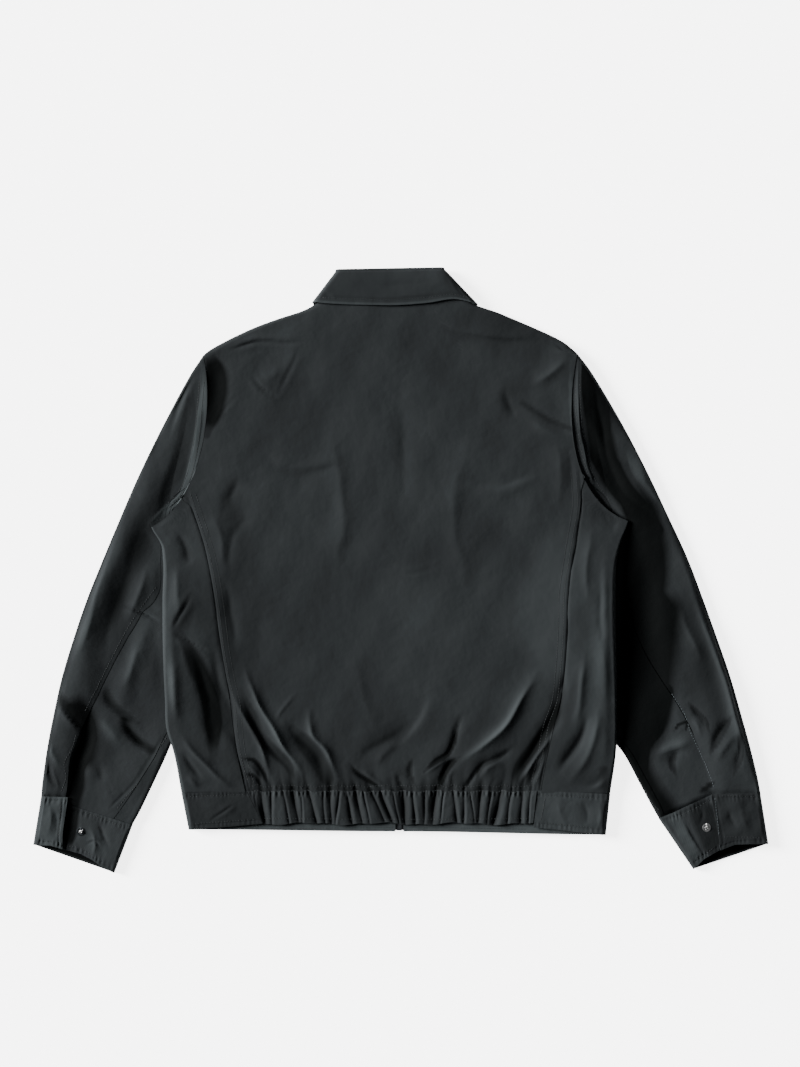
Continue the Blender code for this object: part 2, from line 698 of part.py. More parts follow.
def front_line(name, side, part):
    """The front run of a collar line, from the zip (0) to the side of the neck (1)."""
    if name == "neck":
        return neck_point(side, part, inset=2.0 * seam_gap)
    line = collar_curves[name]
    corner = Vector(line[side])
    if name == "edge":
        return Vector(collar_points[side]).lerp(corner, part)
    across = abs(corner.x - zip_x)
    angle = mix(asin(zip_half_gap / neck_half[side]), pi / 2, part)
    start = line["drop"] * cos(angle)
    return Vector((zip_x + outward[side] * across * sin(angle), corner.y - start))


def side_corner(name, side):
    if name == "neck":
        return front_line("neck", side, 1.0) + Vector((0, 0.8))
    return Vector(collar_curves[name][side])


def collar_point(name, kind, value, top, low, radius):
    """A point of the collar's loop along one line, with the heights of its two layers."""
    place, _, side = kind.partition("_")
    if place == "front":
        corner = front_line(name, side, 1.0)
        point = front_line(name, side, value)
        inset = radius / (corner - front_line(name, side, 0.0)).length
        point = front_line(name, side, value * (1.0 - inset)) if value else point
        return Vector((point.x, point.y, low))
    if place == "side":
        corner = side_corner(name, side)
        reach = radius * (1.0 - cos(value))
        if value < 0:
            length = (front_line(name, side, 1.0) - front_line(name, side, 0.6)).length / 0.4
            point = front_line(name, side, 1.0 - reach / length)
            point = point + (corner - front_line(name, side, 1.0)) * (1.0 - reach / radius)
        else:
            point = corner + (back_point(name, 0.5) - corner).normalized() * reach
        return Vector((point.x, point.y, (top + low) / 2 + (top - low) / 2 * sin(value)))
    point = back_point(name, value)
    return Vector((point.x, point.y, top))


def back_point(name, part):
    left, right = side_corner(name, "left"), side_corner(name, "right")
    point = left.lerp(right, part)
    if name == "edge":
        point.y = read(fall_edge, "x", point.x, "y")
    return point


def build_stand():
    around = collar_around()
    steps = (0.0, 0.5, 1.0)

    def place(i, j):
        kind, value = around[i]
        neck = collar_point("neck", kind, value, *stand_heights)
        edge = collar_point("stand_top", kind, value, *stand_heights)
        return neck.lerp(edge, steps[j])

    cloth("collar_stand", "cloth", (len(around), len(steps)), place, collar_wall)


def build_fall():
    around = collar_around()

    def place(i, j):
        kind, value = around[i]
        line = fall_lines[j]
        part = line["side_part"]
        first, second = ("stand_top", "fold") if part <= 1.0 else ("fold", "edge")
        part = part if part <= 1.0 else part - 1.0
        heights = line["top"], line["low"], line["radius"]
        start = collar_point(first, kind, value, *heights)
        end = collar_point(second, kind, value, *heights)
        return start.lerp(end, part)

    cloth("collar_fall", "cloth", (len(around), len(fall_lines)), place, collar_wall, flip=True)


# ---- zip: two tapes behind the fronts, a metal box at the bottom and the slider with its pull
tape_width = 15.0
tape_wall = 0.8
tape_edge = 0.4          # half the gap between the closed tapes
post_half = 1.3
slider_y = 268.0
slider_size = Vector((8.6, 13.0, 1.4))     # one plate of the slider
pull_length = 24.0
pull_width = 5.4
pull_wall = 1.2
bar_radius = 0.6
box_size = Vector((6.4, 9.0, 4.6))
box_y = -322.5


def zip_height(y):
    """Underside of the zip tapes, which lie on the inner side of the fronts and the band."""
    return read(body_heights, "y", y, "front_mid") + band_wall + 0.4


def box(name, colour, centre, size, bevel=0.4):
    bpy.ops.mesh.primitive_cube_add(size=1.0, location=(Vector(centre) + centring) * mm)
    piece = bpy.context.object
    piece.name = name
    piece.data.name = name
    piece.scale = Vector(size) * mm
    bpy.ops.object.transform_apply(location=False, rotation=False, scale=True)
    if bevel:
        edge = piece.modifiers.new("edge", "BEVEL")
        edge.width = bevel * mm
        edge.segments = 2
    return piece


def join(piece, other, operation="UNION"):
    modifier = piece.modifiers.new(other.name, "BOOLEAN")
    modifier.object = other
    modifier.operation = operation
    other.hide_render = True
    other.display_type = "WIRE"
    move_to(other, cutters)


def move_to(piece, collection):
    for owner in list(piece.users_collection):
        owner.objects.unlink(piece)
    collection.objects.link(piece)


def build_tape(side):
    sign = outward[side]
    stops = (box_y + box_size.y / 2 + 0.4, -200.0, -60.0, 80.0, 180.0, slider_y - 6.0,
             slider_y + 3.0, slider_y + 7.0, neck_point(side, 0.0).y + 4.0)
    across = (0.0, 0.5, 1.0)

    def place(i, j):
        y = stops[j]
        edge = mix(tape_edge, post_half + 0.4, smooth(slider_y - 2.0, slider_y + 3.0, y))
        x = zip_x + sign * mix(edge, tape_width, across[i])
        return x, y, zip_height(y) + tape_wall

    cloth("zip_tape_" + side, "tape", (len(across), len(stops)), place, tape_wall, flip=side == "left")


def build_box():
    piece = box("zip_box", "metal", (zip_x, box_y, 0.3 + box_size.z / 2), box_size)
    move_to(piece, jacket)
    finish(piece, "metal")


def build_slider():
    height = zip_height(slider_y)
    plate = slider_size
    back_plate = box("zip_slider", "metal", (zip_x, slider_y, height + tape_wall + 0.5 + plate.z / 2), plate)
    low_plate = box("zip_slider_plate", "metal", (zip_x, slider_y, height - 0.5 - plate.z / 2), plate)
    post = box("zip_slider_post", "metal", (zip_x, slider_y + 4.6, height + tape_wall / 2),
               (post_half * 2, 3.0, 2 * plate.z + 1.0), bevel=0)
    eye = pull_axis()
    arch = box("zip_slider_arch", "metal", (zip_x, eye.y + 0.6, eye.z - 1.5), (1.6, 6.4, 1.0), bevel=0.2)
    join(back_plate, low_plate)
    join(back_plate, post)
    for offset in (-2.2, 3.4):
        leg = box("zip_slider_leg", "metal", (zip_x, eye.y + offset, eye.z - 0.2), (1.6, 0.9, 3.0), bevel=0)
        join(back_plate, leg)
    join(back_plate, arch)
    move_to(back_plate, jacket)
    finish(back_plate, "metal")


def pull_axis():
    """Where the pull's cross bar lies under the slider's arch."""
    return Vector((zip_x, slider_y - 1.0, zip_height(slider_y) - 0.5 - slider_size.z - 1.0))


def build_pull():
    eye = pull_axis()
    bpy.ops.mesh.primitive_cylinder_add(vertices=16, radius=bar_radius * mm, depth=pull_width * mm,
                                        location=(eye + centring) * mm, rotation=(0, pi / 2, 0))
    piece = bpy.context.object
    piece.name = "zip_pull"
    arm_reach = 4.6
    for sign in (-1, 1):
        arm = box("zip_pull_arm", "metal", (zip_x + sign * (pull_width / 2 - 0.6), eye.y - arm_reach / 2, eye.z),
                  (1.2, arm_reach + 0.4, pull_wall - 0.1), bevel=0)
        join(piece, arm)
    plate = box("zip_pull_plate", "metal", (zip_x, eye.y - arm_reach - (pull_length - arm_reach) / 2 + 0.4, eye.z),
                (pull_width, pull_length - arm_reach, pull_wall), bevel=0.25)
    join(piece, plate)
    move_to(piece, jacket)
    finish(piece, "metal")


# ---- snap studs
stud_places = {"left": (-400.6, -328.0), "right": (382.5, -323.0)}
stud_profile = table("radius height", (0.0, 2.9), (1.7, 2.9), (2.3, 2.3), (1.9, 1.1), (3.2, 1.0),
                     (stud_radius, 0.8), (stud_radius, 0.2), (stud_radius - 0.4, 0.0), (0.0, 0.0))


def build_stud(side):
    mesh = bpy.data.meshes.new("snap_stud_" + side)
    profile = bmesh.new()
    verts = [profile.verts.new(Vector((row["radius"], 0, row["height"])) * mm) for row in stud_profile]
    for start, end in zip(verts, verts[1:]):
        profile.edges.new((start, end))
    profile.to_mesh(mesh)
    profile.free()
    piece = bpy.data.objects.new("snap_stud_" + side, mesh)
    jacket.objects.link(piece)
    x, y = stud_places[side]
    piece.location = (Vector((x, y, cuff_lines[side][0]["inner_height"] + 0.3)) + centring) * mm
    turn = piece.modifiers.new("turn", "SCREW")
    turn.steps = turn.render_steps = 20
    turn.use_merge_vertices = True
    turn.merge_threshold = 0.00001
    turn.use_smooth_shade = True
    finish(piece, "metal")


# ---- build
build_back()
build_elastic()
for body_side in ("left", "right"):
    build_front(body_side)
    build_upper_sleeve(body_side)
    build_under_sleeve(body_side)
    build_cuff(body_side)
    build_band(body_side)
    build_tape(body_side)
    build_stud(body_side)
build_stand()
build_fall()
build_box()
build_slider()
build_pull()
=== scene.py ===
import bpy
import math
import numpy as np
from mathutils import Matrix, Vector
from mathutils.bvhtree import BVHTree


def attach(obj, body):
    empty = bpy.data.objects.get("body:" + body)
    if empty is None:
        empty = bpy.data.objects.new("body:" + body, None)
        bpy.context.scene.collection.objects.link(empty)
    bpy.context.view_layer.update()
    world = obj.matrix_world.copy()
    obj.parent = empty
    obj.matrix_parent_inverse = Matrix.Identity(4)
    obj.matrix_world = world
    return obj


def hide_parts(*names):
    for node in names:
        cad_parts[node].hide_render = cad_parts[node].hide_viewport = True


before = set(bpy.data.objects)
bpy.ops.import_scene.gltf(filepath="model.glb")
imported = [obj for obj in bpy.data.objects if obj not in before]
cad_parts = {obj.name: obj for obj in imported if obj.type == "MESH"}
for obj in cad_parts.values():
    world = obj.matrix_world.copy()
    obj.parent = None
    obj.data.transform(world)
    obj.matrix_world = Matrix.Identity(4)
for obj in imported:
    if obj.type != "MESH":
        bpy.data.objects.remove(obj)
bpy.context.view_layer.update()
print("frame loaded:", len(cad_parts), "solids")

# Sizes below are in millimetres, with y from the hem (-) to the collar (+) and z up from the table.
mm = 0.001
centring = (0.25, 1.0)    # the model's origin is in the middle of its box
outward = {"left": -1.0, "right": 1.0}

# camera, straight above the jacket
view = {"height": 4.0, "down": 1.33375, "middleX": -1.0, "middleY": 46.0, "sensor": 36.0,
        "clothTop": 0.012}
cameraData = bpy.data.cameras.new("camera")
cameraData.sensor_width = view["sensor"]
cameraData.lens = view["sensor"] * view["height"] / view["down"]
camera = bpy.data.objects.new("camera", cameraData)
camera.location = (view["middleX"] * mm, view["middleY"] * mm, view["height"] + view["clothTop"])
bpy.context.scene.collection.objects.link(camera)
bpy.context.scene.camera = camera


# small helpers
def table(columns, *rows):
    names = columns.split()
    return {name: np.array([row[i] for row in rows], float) for i, name in enumerate(names)}


def mix(a, b, part):
    return a + (b - a) * part


def smooth(low, high, value):
    part = np.clip((np.asarray(value, float) - low) / (high - low), 0.0, 1.0)
    return part * part * (3.0 - 2.0 * part)


def bend(at, keys, values):
    # a smooth line through the table's values
    slopes = np.gradient(values, keys)
    at = np.clip(np.asarray(at, float), keys[0], keys[-1])
    i = np.clip(np.searchsorted(keys, at) - 1, 0, len(keys) - 2)
    span = keys[i + 1] - keys[i]
    t = (at - keys[i]) / span
    rise, run = t * t * (3 - 2 * t), t * (1 - t)
    return (mix(values[i], values[i + 1], rise) + span * run * (1 - t) * slopes[i]
            - span * run * t * slopes[i + 1])


def bezier(corners, t):
    a, b, c, d = corners
    return a * (1 - t) ** 3 + 3 * b * t * (1 - t) ** 2 + 3 * c * t * t * (1 - t) + d * t ** 3


# the photograph's scale, in mm for each of its pixels, and the pixel over the jacket's middle
photo = {"pitch": 1.25, "middleX": 401.0, "middleY": 569.5}


def onPhoto(points):
    return np.array([((px - photo["middleX"]) * photo["pitch"], (photo["middleY"] - py) * photo["pitch"])
                     for px, py in points])


def smoothPath(points, step=4.0):
    lengths = np.concatenate([[0], np.cumsum(np.hypot(*np.diff(points, axis=0).T))])
    at = np.linspace(0, lengths[-1], max(int(lengths[-1] / step), 3))
    if len(points) == 2:
        return np.stack([np.interp(at, lengths, points[:, k]) for k in (0, 1)], axis=1)
    return np.stack([bend(at, lengths, points[:, k]) for k in (0, 1)], axis=1)


wander = {"wide": 1.7, "narrow": 0.9}


def uneven(x, y):
    # folds wander a little instead of following their path exactly
    wide, narrow = wander["wide"], wander["narrow"]
    aside = wide * np.sin(x / 17.0 + y / 23.0) + narrow * np.sin(y / 11.0 - x / 19.0 + 2.0)
    above = wide * np.sin(y / 19.0 - x / 25.0 + 1.0) + narrow * np.sin(x / 12.0 + y / 21.0)
    return x + aside, y + above


def relief(flatX, flatY, strokes):
    # heights that folds, creases and seams add at each point: kind, height, width, path on the photo
    total = np.zeros_like(flatX)
    loose = uneven(flatX, flatY)
    for kind, height, width, path in strokes:
        x, y = loose if kind in ("ridge", "trough", "crease", "step") else (flatX, flatY)
        line = smoothPath(onPhoto(path))
        reach = width * 3.0
        low, high = line.min(axis=0) - reach, line.max(axis=0) + reach
        near = (x > low[0]) & (x < high[0]) & (y > low[1]) & (y < high[1])
        if not near.any():
            continue
        px, py = x[near], y[near]
        run = np.diff(line, axis=0)
        rx = px[:, None] - line[:-1, 0]
        ry = py[:, None] - line[:-1, 1]
        t = np.clip((rx * run[:, 0] + ry * run[:, 1]) / (run ** 2).sum(axis=1), 0, 1)
        gap = np.hypot(rx - t * run[:, 0], ry - t * run[:, 1])
        nearest = gap.argmin(axis=1)
        pick = np.arange(len(px))
        away = gap[pick, nearest]
        part = (nearest + t[pick, nearest]) / len(run)
        side = np.sign(run[nearest, 0] * ry[pick, nearest] - run[nearest, 1] * rx[pick, nearest])
        ends = smooth(0.0, 0.4, part) * smooth(0.0, 0.4, 1.0 - part)
        if kind == "soft":           # a broad swell, or a hollow where its height is negative
            rise = np.exp(-(away / width) ** 2) * ends
        elif kind == "patch":        # an even area that tapers to its ends
            taper = 0.4 + 0.6 * smooth(0.0, 0.3, part) * smooth(0.0, 0.3, 1.0 - part)
            rise = smooth(1.25, 0.7, away / (width * taper)) * (0.35 + 0.65 * smooth(0.0, 0.3, taper - 0.4))
        elif kind == "shade":        # the same with a blurred edge
            rise = smooth(1.5, 0.3, away / width)
        elif kind == "ridge":        # a fold with a crisp crest
            rise = np.exp(0.35 - np.sqrt(2.2 * (away / width) ** 2 + 0.12)) * ends
        elif kind == "trough":
            rise = -np.exp(0.35 - np.sqrt(2.2 * (away / width) ** 2 + 0.12)) * ends
        elif kind == "crease":       # a thin valley between two soft lips
            rise = (0.45 * np.exp(-((away - width) / width) ** 2) - np.exp(-away / (0.5 * width))) * ends
        elif kind == "step":         # high on the left of the path's direction, low on its right
            rise = side * (1 - np.exp(-away / (0.3 * width))) * np.exp(-(away / (1.5 * width)) ** 2) * ends
        elif kind == "strip":        # sewn allowance: a flat raised band
            rise = smooth(width / 2 + 0.9, width / 2 - 0.7, away)
        else:                        # seam: a narrow groove where two edges meet
            rise = -np.exp(-(away / width) ** 2)
        total[near] += height * rise
    return total


def waves(x, y, parts):
    total = np.zeros_like(x)
    for size, length, turn, start in parts:
        across = x * math.cos(math.radians(turn)) + y * math.sin(math.radians(turn))
        total += size * np.sin(2 * math.pi * across / length + start)
    return total


def deselect():
    if bpy.context.object and bpy.context.object.mode != "OBJECT":
        bpy.ops.object.mode_set(mode="OBJECT")
    bpy.ops.object.select_all(action="DESELECT")


def applyAll(piece):
    deselect()
    piece.select_set(True)
    bpy.context.view_layer.objects.active = piece
    for modifier in list(piece.modifiers):
        bpy.ops.object.modifier_apply(modifier=modifier.name)


def sheetMesh(name, x, y, z, wall, keep=None, flip=False, paintedLight=None, crease=math.radians(50)):
    # one panel of cloth from its outer side, with its length and width measured along the cloth
    rows, columns = x.shape
    points = np.stack([x + centring[0], y + centring[1], z], axis=-1) * mm
    index = np.arange(rows * columns).reshape(rows, columns)
    quads = np.stack([index[:-1, :-1], index[:-1, 1:], index[1:, 1:], index[1:, :-1]], axis=-1)
    if flip:
        quads = quads[..., ::-1]
    if keep is not None:
        quads = quads[keep]
    quads = quads.reshape(-1, 4)
    across = np.zeros((rows, columns))
    across[:, 1:] = np.cumsum(np.linalg.norm(np.diff(points, axis=1), axis=-1), axis=1)
    across -= across[:, columns // 2:columns // 2 + 1]
    down = np.zeros((rows, columns))
    down[1:] = np.cumsum(np.linalg.norm(np.diff(points, axis=0), axis=-1), axis=0)
    used = np.unique(quads)
    renumber = np.full(rows * columns, -1)
    renumber[used] = np.arange(len(used))
    mesh = bpy.data.meshes.new(name)
    mesh.from_pydata(points.reshape(-1, 3)[used].tolist(), [], renumber[quads].tolist())
    uv = mesh.uv_layers.new(name="cloth")
    corner = np.zeros(len(mesh.loops), int)
    mesh.loops.foreach_get("vertex_index", corner)
    flat = np.stack([across.reshape(-1)[used], down.reshape(-1)[used]], axis=-1)
    uv.data.foreach_set("uv", flat[corner].astype(np.float32).reshape(-1))
    # the painted light and shade in the cloth's colour, one value for each point
    shade = mesh.attributes.new("paintedLight", "FLOAT", "POINT")
    values = np.zeros((rows, columns)) if paintedLight is None else paintedLight
    shade.data.foreach_set("value", values.reshape(-1)[used].astype(np.float32))
    piece = bpy.data.objects.new(name, mesh)
    bpy.context.scene.collection.objects.link(piece)
    thickness = piece.modifiers.new("wall", "SOLIDIFY")
    thickness.thickness = wall * mm
    thickness.offset = -1.0
    thickness.use_quality_normals = True
    applyAll(piece)
    for vertex in piece.data.vertices:
        vertex.co.z = max(vertex.co.z, 0.0)    # nothing goes below the table
    piece.data.shade_smooth()
    piece.data.set_sharp_from_angle(angle=crease)
    return piece


# materials
def linear(hexColour, alpha=1.0):
    values = [int(hexColour[i:i + 2], 16) / 255 for i in (1, 3, 5)]
    return (*[v / 12.92 if v <= 0.04045 else ((v + 0.055) / 1.055) ** 2.4 for v in values], alpha)


def addNode(tree, kind, settings=None, links=None):
    # one node with its settings and the sockets that feed it
    node = tree.nodes.new(kind)
    for key, value in (settings or {}).items():
        if isinstance(key, str) and hasattr(node, key):
            setattr(node, key, value)
        else:
            node.inputs[key].default_value = value
    for key, source in (links or {}).items():
        tree.links.new(source, node.inputs[key])
    return node


def startMaterial(name):
    material = bpy.data.materials.new(name)
    material.use_nodes = True
    tree = material.node_tree
    return material, tree, tree.nodes["Principled BSDF"]


# how far a wave texture's bands are apart at a scale of 1, along an axis and along the diagonal
wavePeriod = {"X": math.pi / 10, "DIAGONAL": math.pi / (5 * math.sqrt(2))}

twill = {
    "base": "#1b1d1e", "fadedAndHighlight": "#2f3334", "deep": "#030404",
    "waleMm": 1.956,     # four times the real 0.5 mm, which would not show from this height
    "fuzzMm": 0.7, "creaseMm": 9.0, "crumpleMm": 26.0,
    "cloudMm": 130.0,    # patches where the dye has faded a little
    "roughness": 0.8, "specular": 0.035, "sheen": 0.008, "sheenRoughness": 0.5, "sheenTint": "#8f9a9c",
    "bump": 0.2, "creaseBump": 0.3, "crumpleBump": 0.55,
    "bumpDepth": 0.00012, "creaseDepth": 0.0006, "crumpleDepth": 0.0024,
}


def clothMaterial(name, tint, crumpled):
    # tightly woven polyester-cotton twill: fine diagonal wales, matt, with painted highlights on folds and
    # painted shade inside them
    material, tree, shader = startMaterial(name)
    uv = addNode(tree, "ShaderNodeUVMap", {"uv_map": "cloth"}).outputs["UV"]
    place = addNode(tree, "ShaderNodeTexCoord").outputs["Object"]
    wales = addNode(tree, "ShaderNodeTexWave",
                    {"wave_type": "BANDS", "bands_direction": "DIAGONAL", "wave_profile": "SIN",
                     "Scale": wavePeriod["DIAGONAL"] / (twill["waleMm"] * mm), "Distortion": 0.6,
                     "Detail": 1.0, "Detail Scale": 3.0}, {"Vector": uv}).outputs["Fac"]
    noises = {}
    for key, vector in (("fuzz", uv), ("crease", place), ("crumple", place), ("cloud", place)):
        noises[key] = addNode(tree, "ShaderNodeTexNoise",
                              {"Scale": 1 / (twill[key + "Mm"] * mm), "Detail": 3.0},
                              {"Vector": vector}).outputs["Fac"]
    # colour: clouds of faded dye lighten it towards the paler colour, the painted light and shade attribute
    # lightens it the same way, and below zero that attribute mixes in near-black painted shade
    fade = addNode(tree, "ShaderNodeAttribute", {"attribute_name": "paintedLight"}).outputs["Fac"]
    patches = addNode(tree, "ShaderNodeMapRange",
                      {"From Min": 0.3, "From Max": 0.72, "To Min": -0.06, "To Max": 0.22},
                      {"Value": noises["cloud"]}).outputs["Result"]
    lightened = addNode(tree, "ShaderNodeMath", {"operation": "ADD", "use_clamp": True},
                        {0: patches, 1: fade}).outputs["Value"]
    unfaded = addNode(tree, "ShaderNodeMapRange",
                      {"From Min": -1.0, "From Max": 0.0, "To Min": 1.0, "To Max": 0.0},
                      {"Value": fade}).outputs["Result"]
    body = addNode(tree, "ShaderNodeMix", {"data_type": "RGBA", 6: linear(tint), 7: linear(twill["fadedAndHighlight"])},
                   {0: lightened}).outputs[2]
    walesShade = addNode(tree, "ShaderNodeMapRange", {"To Min": 0.9, "To Max": 1.04},
                         {"Value": wales}).outputs["Result"]
    grained = addNode(tree, "ShaderNodeMix", {"data_type": "RGBA", "blend_type": "MULTIPLY", 0: 1.0},
                      {6: body, 7: walesShade}).outputs[2]
    # near-black painted shade, mixed in where the painted light and shade attribute is below zero
    colour = addNode(tree, "ShaderNodeMix", {"data_type": "RGBA", 7: linear(twill["deep"])},
                     {0: unfaded, 6: grained}).outputs[2]
    # height: wales with fibres on them, then fine creases, then broad crumples
    grain = addNode(tree, "ShaderNodeMath", {"operation": "MULTIPLY_ADD", 1: 0.5},
                    {0: noises["fuzz"], 2: wales}).outputs["Value"]
    weave = addNode(tree, "ShaderNodeBump", {"Strength": twill["bump"], "Distance": twill["bumpDepth"]},
                    {"Height": grain}).outputs["Normal"]
    fine = addNode(tree, "ShaderNodeBump",
                   {"Strength": twill["creaseBump"] * crumpled, "Distance": twill["creaseDepth"]},
                   {"Height": noises["crease"], "Normal": weave}).outputs["Normal"]
    soft = addNode(tree, "ShaderNodeBump",
                   {"Strength": twill["crumpleBump"] * crumpled, "Distance": twill["crumpleDepth"]},
                   {"Height": noises["crumple"], "Normal": fine}).outputs["Normal"]
    rough = addNode(tree, "ShaderNodeMapRange",
                    {"To Min": twill["roughness"] - 0.05, "To Max": twill["roughness"] + 0.09},
                    {"Value": noises["fuzz"]}).outputs["Result"]
    tree.links.new(colour, shader.inputs["Base Color"])
    tree.links.new(rough, shader.inputs["Roughness"])
    tree.links.new(soft, shader.inputs["Normal"])
    shader.inputs["Specular IOR Level"].default_value = twill["specular"]
    shader.inputs["Sheen Weight"].default_value = twill["sheen"]
    shader.inputs["Sheen Roughness"].default_value = twill["sheenRoughness"]
    shader.inputs["Sheen Tint"].default_value = linear(twill["sheenTint"])
    return material


finish = {"twistMm": 1.1111, "dullMm": 2.8571, "scratchMm": 0.38462, "ribMm": 2.371, "frostMm": 16.6667,
          "glow": 4.2}


def threadMaterial(name, dark, light):
    # polyester sewing thread, close to the cloth's shade and a little glossy
    material, tree, shader = startMaterial(name)
    place = addNode(tree, "ShaderNodeTexCoord").outputs["Object"]
    twist = addNode(tree, "ShaderNodeTexNoise", {"Scale": 1 / (finish["twistMm"] * mm), "Detail": 2.0},
                    {"Vector": place}).outputs["Fac"]
    colour = addNode(tree, "ShaderNodeMix",
                     {"data_type": "RGBA", 6: linear(dark), 7: linear(light)}, {0: twist}).outputs[2]
    tree.links.new(colour, shader.inputs["Base Color"])
    shader.inputs["Roughness"].default_value = 0.6
    shader.inputs["Specular IOR Level"].default_value = 0.25
    return material


def metalMaterial(name, light, dark, roughness):
    # plated brass, or brass darkened as painted shade: fine tumbling scratches, and dull patches from
    # handling
    material, tree, shader = startMaterial(name)
    place = addNode(tree, "ShaderNodeTexCoord").outputs["Object"]
    patch = addNode(tree, "ShaderNodeTexNoise", {"Scale": 1 / (finish["dullMm"] * mm), "Detail": 4.0},
                    {"Vector": place}).outputs["Fac"]
    scratch = addNode(tree, "ShaderNodeTexNoise", {"Scale": 1 / (finish["scratchMm"] * mm), "Detail": 2.0},
                      {"Vector": place}).outputs["Fac"]
    colour = addNode(tree, "ShaderNodeMix",
                     {"data_type": "RGBA", 6: linear(dark), 7: linear(light)}, {0: patch}).outputs[2]
    rough = addNode(tree, "ShaderNodeMapRange", {"To Min": roughness - 0.08, "To Max": roughness + 0.14},
                    {"Value": patch}).outputs["Result"]
    normal = addNode(tree, "ShaderNodeBump", {"Strength": 0.12, "Distance": 0.00005},
                     {"Height": scratch}).outputs["Normal"]
    tree.links.new(colour, shader.inputs["Base Color"])
    tree.links.new(rough, shader.inputs["Roughness"])
    tree.links.new(normal, shader.inputs["Normal"])
    shader.inputs["Metallic"].default_value = 1.0
    return material


def tapeMaterial():
    # woven polyester zip tape: fine ribs along it, matt and nearly black
    material, tree, shader = startMaterial("woven_zip_tape")
    uv = addNode(tree, "ShaderNodeUVMap", {"uv_map": "cloth"}).outputs["UV"]
    ribs = addNode(tree, "ShaderNodeTexWave",
                   {"Scale": wavePeriod["X"] / (finish["ribMm"] * mm), "bands_direction": "X"},
                   {"Vector": uv}).outputs["Fac"]
    colour = addNode(tree, "ShaderNodeMix",
                     {"data_type": "RGBA", 6: linear("#141617"), 7: linear("#25292a")}, {0: ribs}).outputs[2]
    normal = addNode(tree, "ShaderNodeBump", {"Strength": 0.4, "Distance": 0.0002},
                     {"Height": ribs}).outputs["Normal"]
    tree.links.new(colour, shader.inputs["Base Color"])
    tree.links.new(normal, shader.inputs["Normal"])
    shader.inputs["Roughness"].default_value = 0.8
    return material


def floorMaterial():
    # opal acrylic of a light table, with a trace of grain
    material, tree, shader = startMaterial("opal_light_table")
    place = addNode(tree, "ShaderNodeTexCoord").outputs["Object"]
    grain = addNode(tree, "ShaderNodeTexNoise", {"Scale": 1 / (finish["frostMm"] * mm), "Detail": 2.0},
                    {"Vector": place}).outputs["Fac"]
    colour = addNode(tree, "ShaderNodeMix",
                     {"data_type": "RGBA", 6: linear("#f3f3f2"), 7: linear("#f8f8f8")}, {0: grain}).outputs[2]
    tree.links.new(colour, shader.inputs["Base Color"])
    shader.inputs["Roughness"].default_value = 0.9
    shader.inputs["Emission Color"].default_value = linear("#ffffff")
    shader.inputs["Emission Strength"].default_value = finish["glow"]
    return material


materials = {
    "panel": clothMaterial("polyester_cotton_twill", twill["base"], 1.0),
    "band": clothMaterial("doubled_twill_band", "#1d1f20", 1.3),
    "tape": tapeMaterial(),
    "thread": threadMaterial("polyester_thread", "#0f1112", "#1e2223"),
    # pale thread that stands in for a painted highlight on lit edges
    "highlightThread": threadMaterial("faded_polyester_thread", "#2a2f31", "#444b4e"),
    "snap": metalMaterial("nickel_plated_brass", "#cfcecb", "#77777a", 0.28),
    # brass darkened as painted shade, for the stud in the flap's shadow
    "paintedShadeRim": metalMaterial("brass_in_painted_shade", "#34373a", "#101213", 0.5),
    "zip": metalMaterial("gunmetal_zip_metal", "#4a4d50", "#1d1f20", 0.45),
}


def tucked(z, end, deep=1.9):
    # the last rows of a panel slip between the layers of the band sewn on it
    middle = (z.max(axis=1) + z.min(axis=1))[:, None] / 2
    return z - np.sign(z - middle) * np.minimum(np.abs(z - middle), deep) * end


def dress(piece, key, body="jacket"):
    piece.data.materials.clear()
    piece.data.materials.append(materials[key])
    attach(piece, body)
    return piece


def standFor(piece, node, key):
    # a finished piece shown in place of its CAD node
    dress(piece, key)
    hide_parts(node)
    return piece


print("materials made:", ", ".join(materials))


# the body's outline and heights
waistY, neckTopY, zipX, zipHalfGap = -276.0, 335.6, -2.0, 5.0
neck = {"drop": 48.0, "left": 98.0, "right": 84.0}
sideLines = {
    "left": table("y side seam", (-279, -275, -194), (-226, -285, -205), (-200, -293, -209),
                  (-163, -295, -213.5), (-100, -297.5, -224), (-38, -298, -233), (12, -297.5, -241.5),
                  (31, -300, -246), (53, -312.5, -253), (93, -312.5, -267)),
    "right": table("y side seam", (-280, 262, 174), (-226, 269, 184), (-200, 270, 190), (-163, 270, 199),
                   (-100, 269, 206), (-38, 268, 208), (12, 270, 214), (31, 274, 218), (60.6, 285, 222),
                   (121, 285, 227)),
}
armhole = {
    "left": [Vector(p) for p in ((-247.5, 268.0), (-232.5, 212.0), (-245.0, 87.0), (-312.5, 53.0))],
    "right": [Vector(p) for p in ((221.0, 270.0), (209.0, 218.0), (200.0, 90.5), (285.0, 60.6))],
}
frontScoop = 8.0
bodyFit = {"wall": 1.2, "tuck": 2.2, "backHeight": 11.5, "layerGap": 4.6, "fewestGap": 3.4}
seamMeetsArmhole = {"left": 0.755, "right": 0.668}
shoulderLines = {
    "left": table("y x", (268, -247.5), (274, -240), (284, -222.5), (294, -202.5), (304, -180),
                  (314, -152.5), (324, -122), (330, -110), (336, -104)),
    "right": table("y x", (270, 221), (276, 214), (284, 204), (294, 185), (304, 162.5), (314, 139),
                   (324, 114), (330, 94), (336, 87)),
}
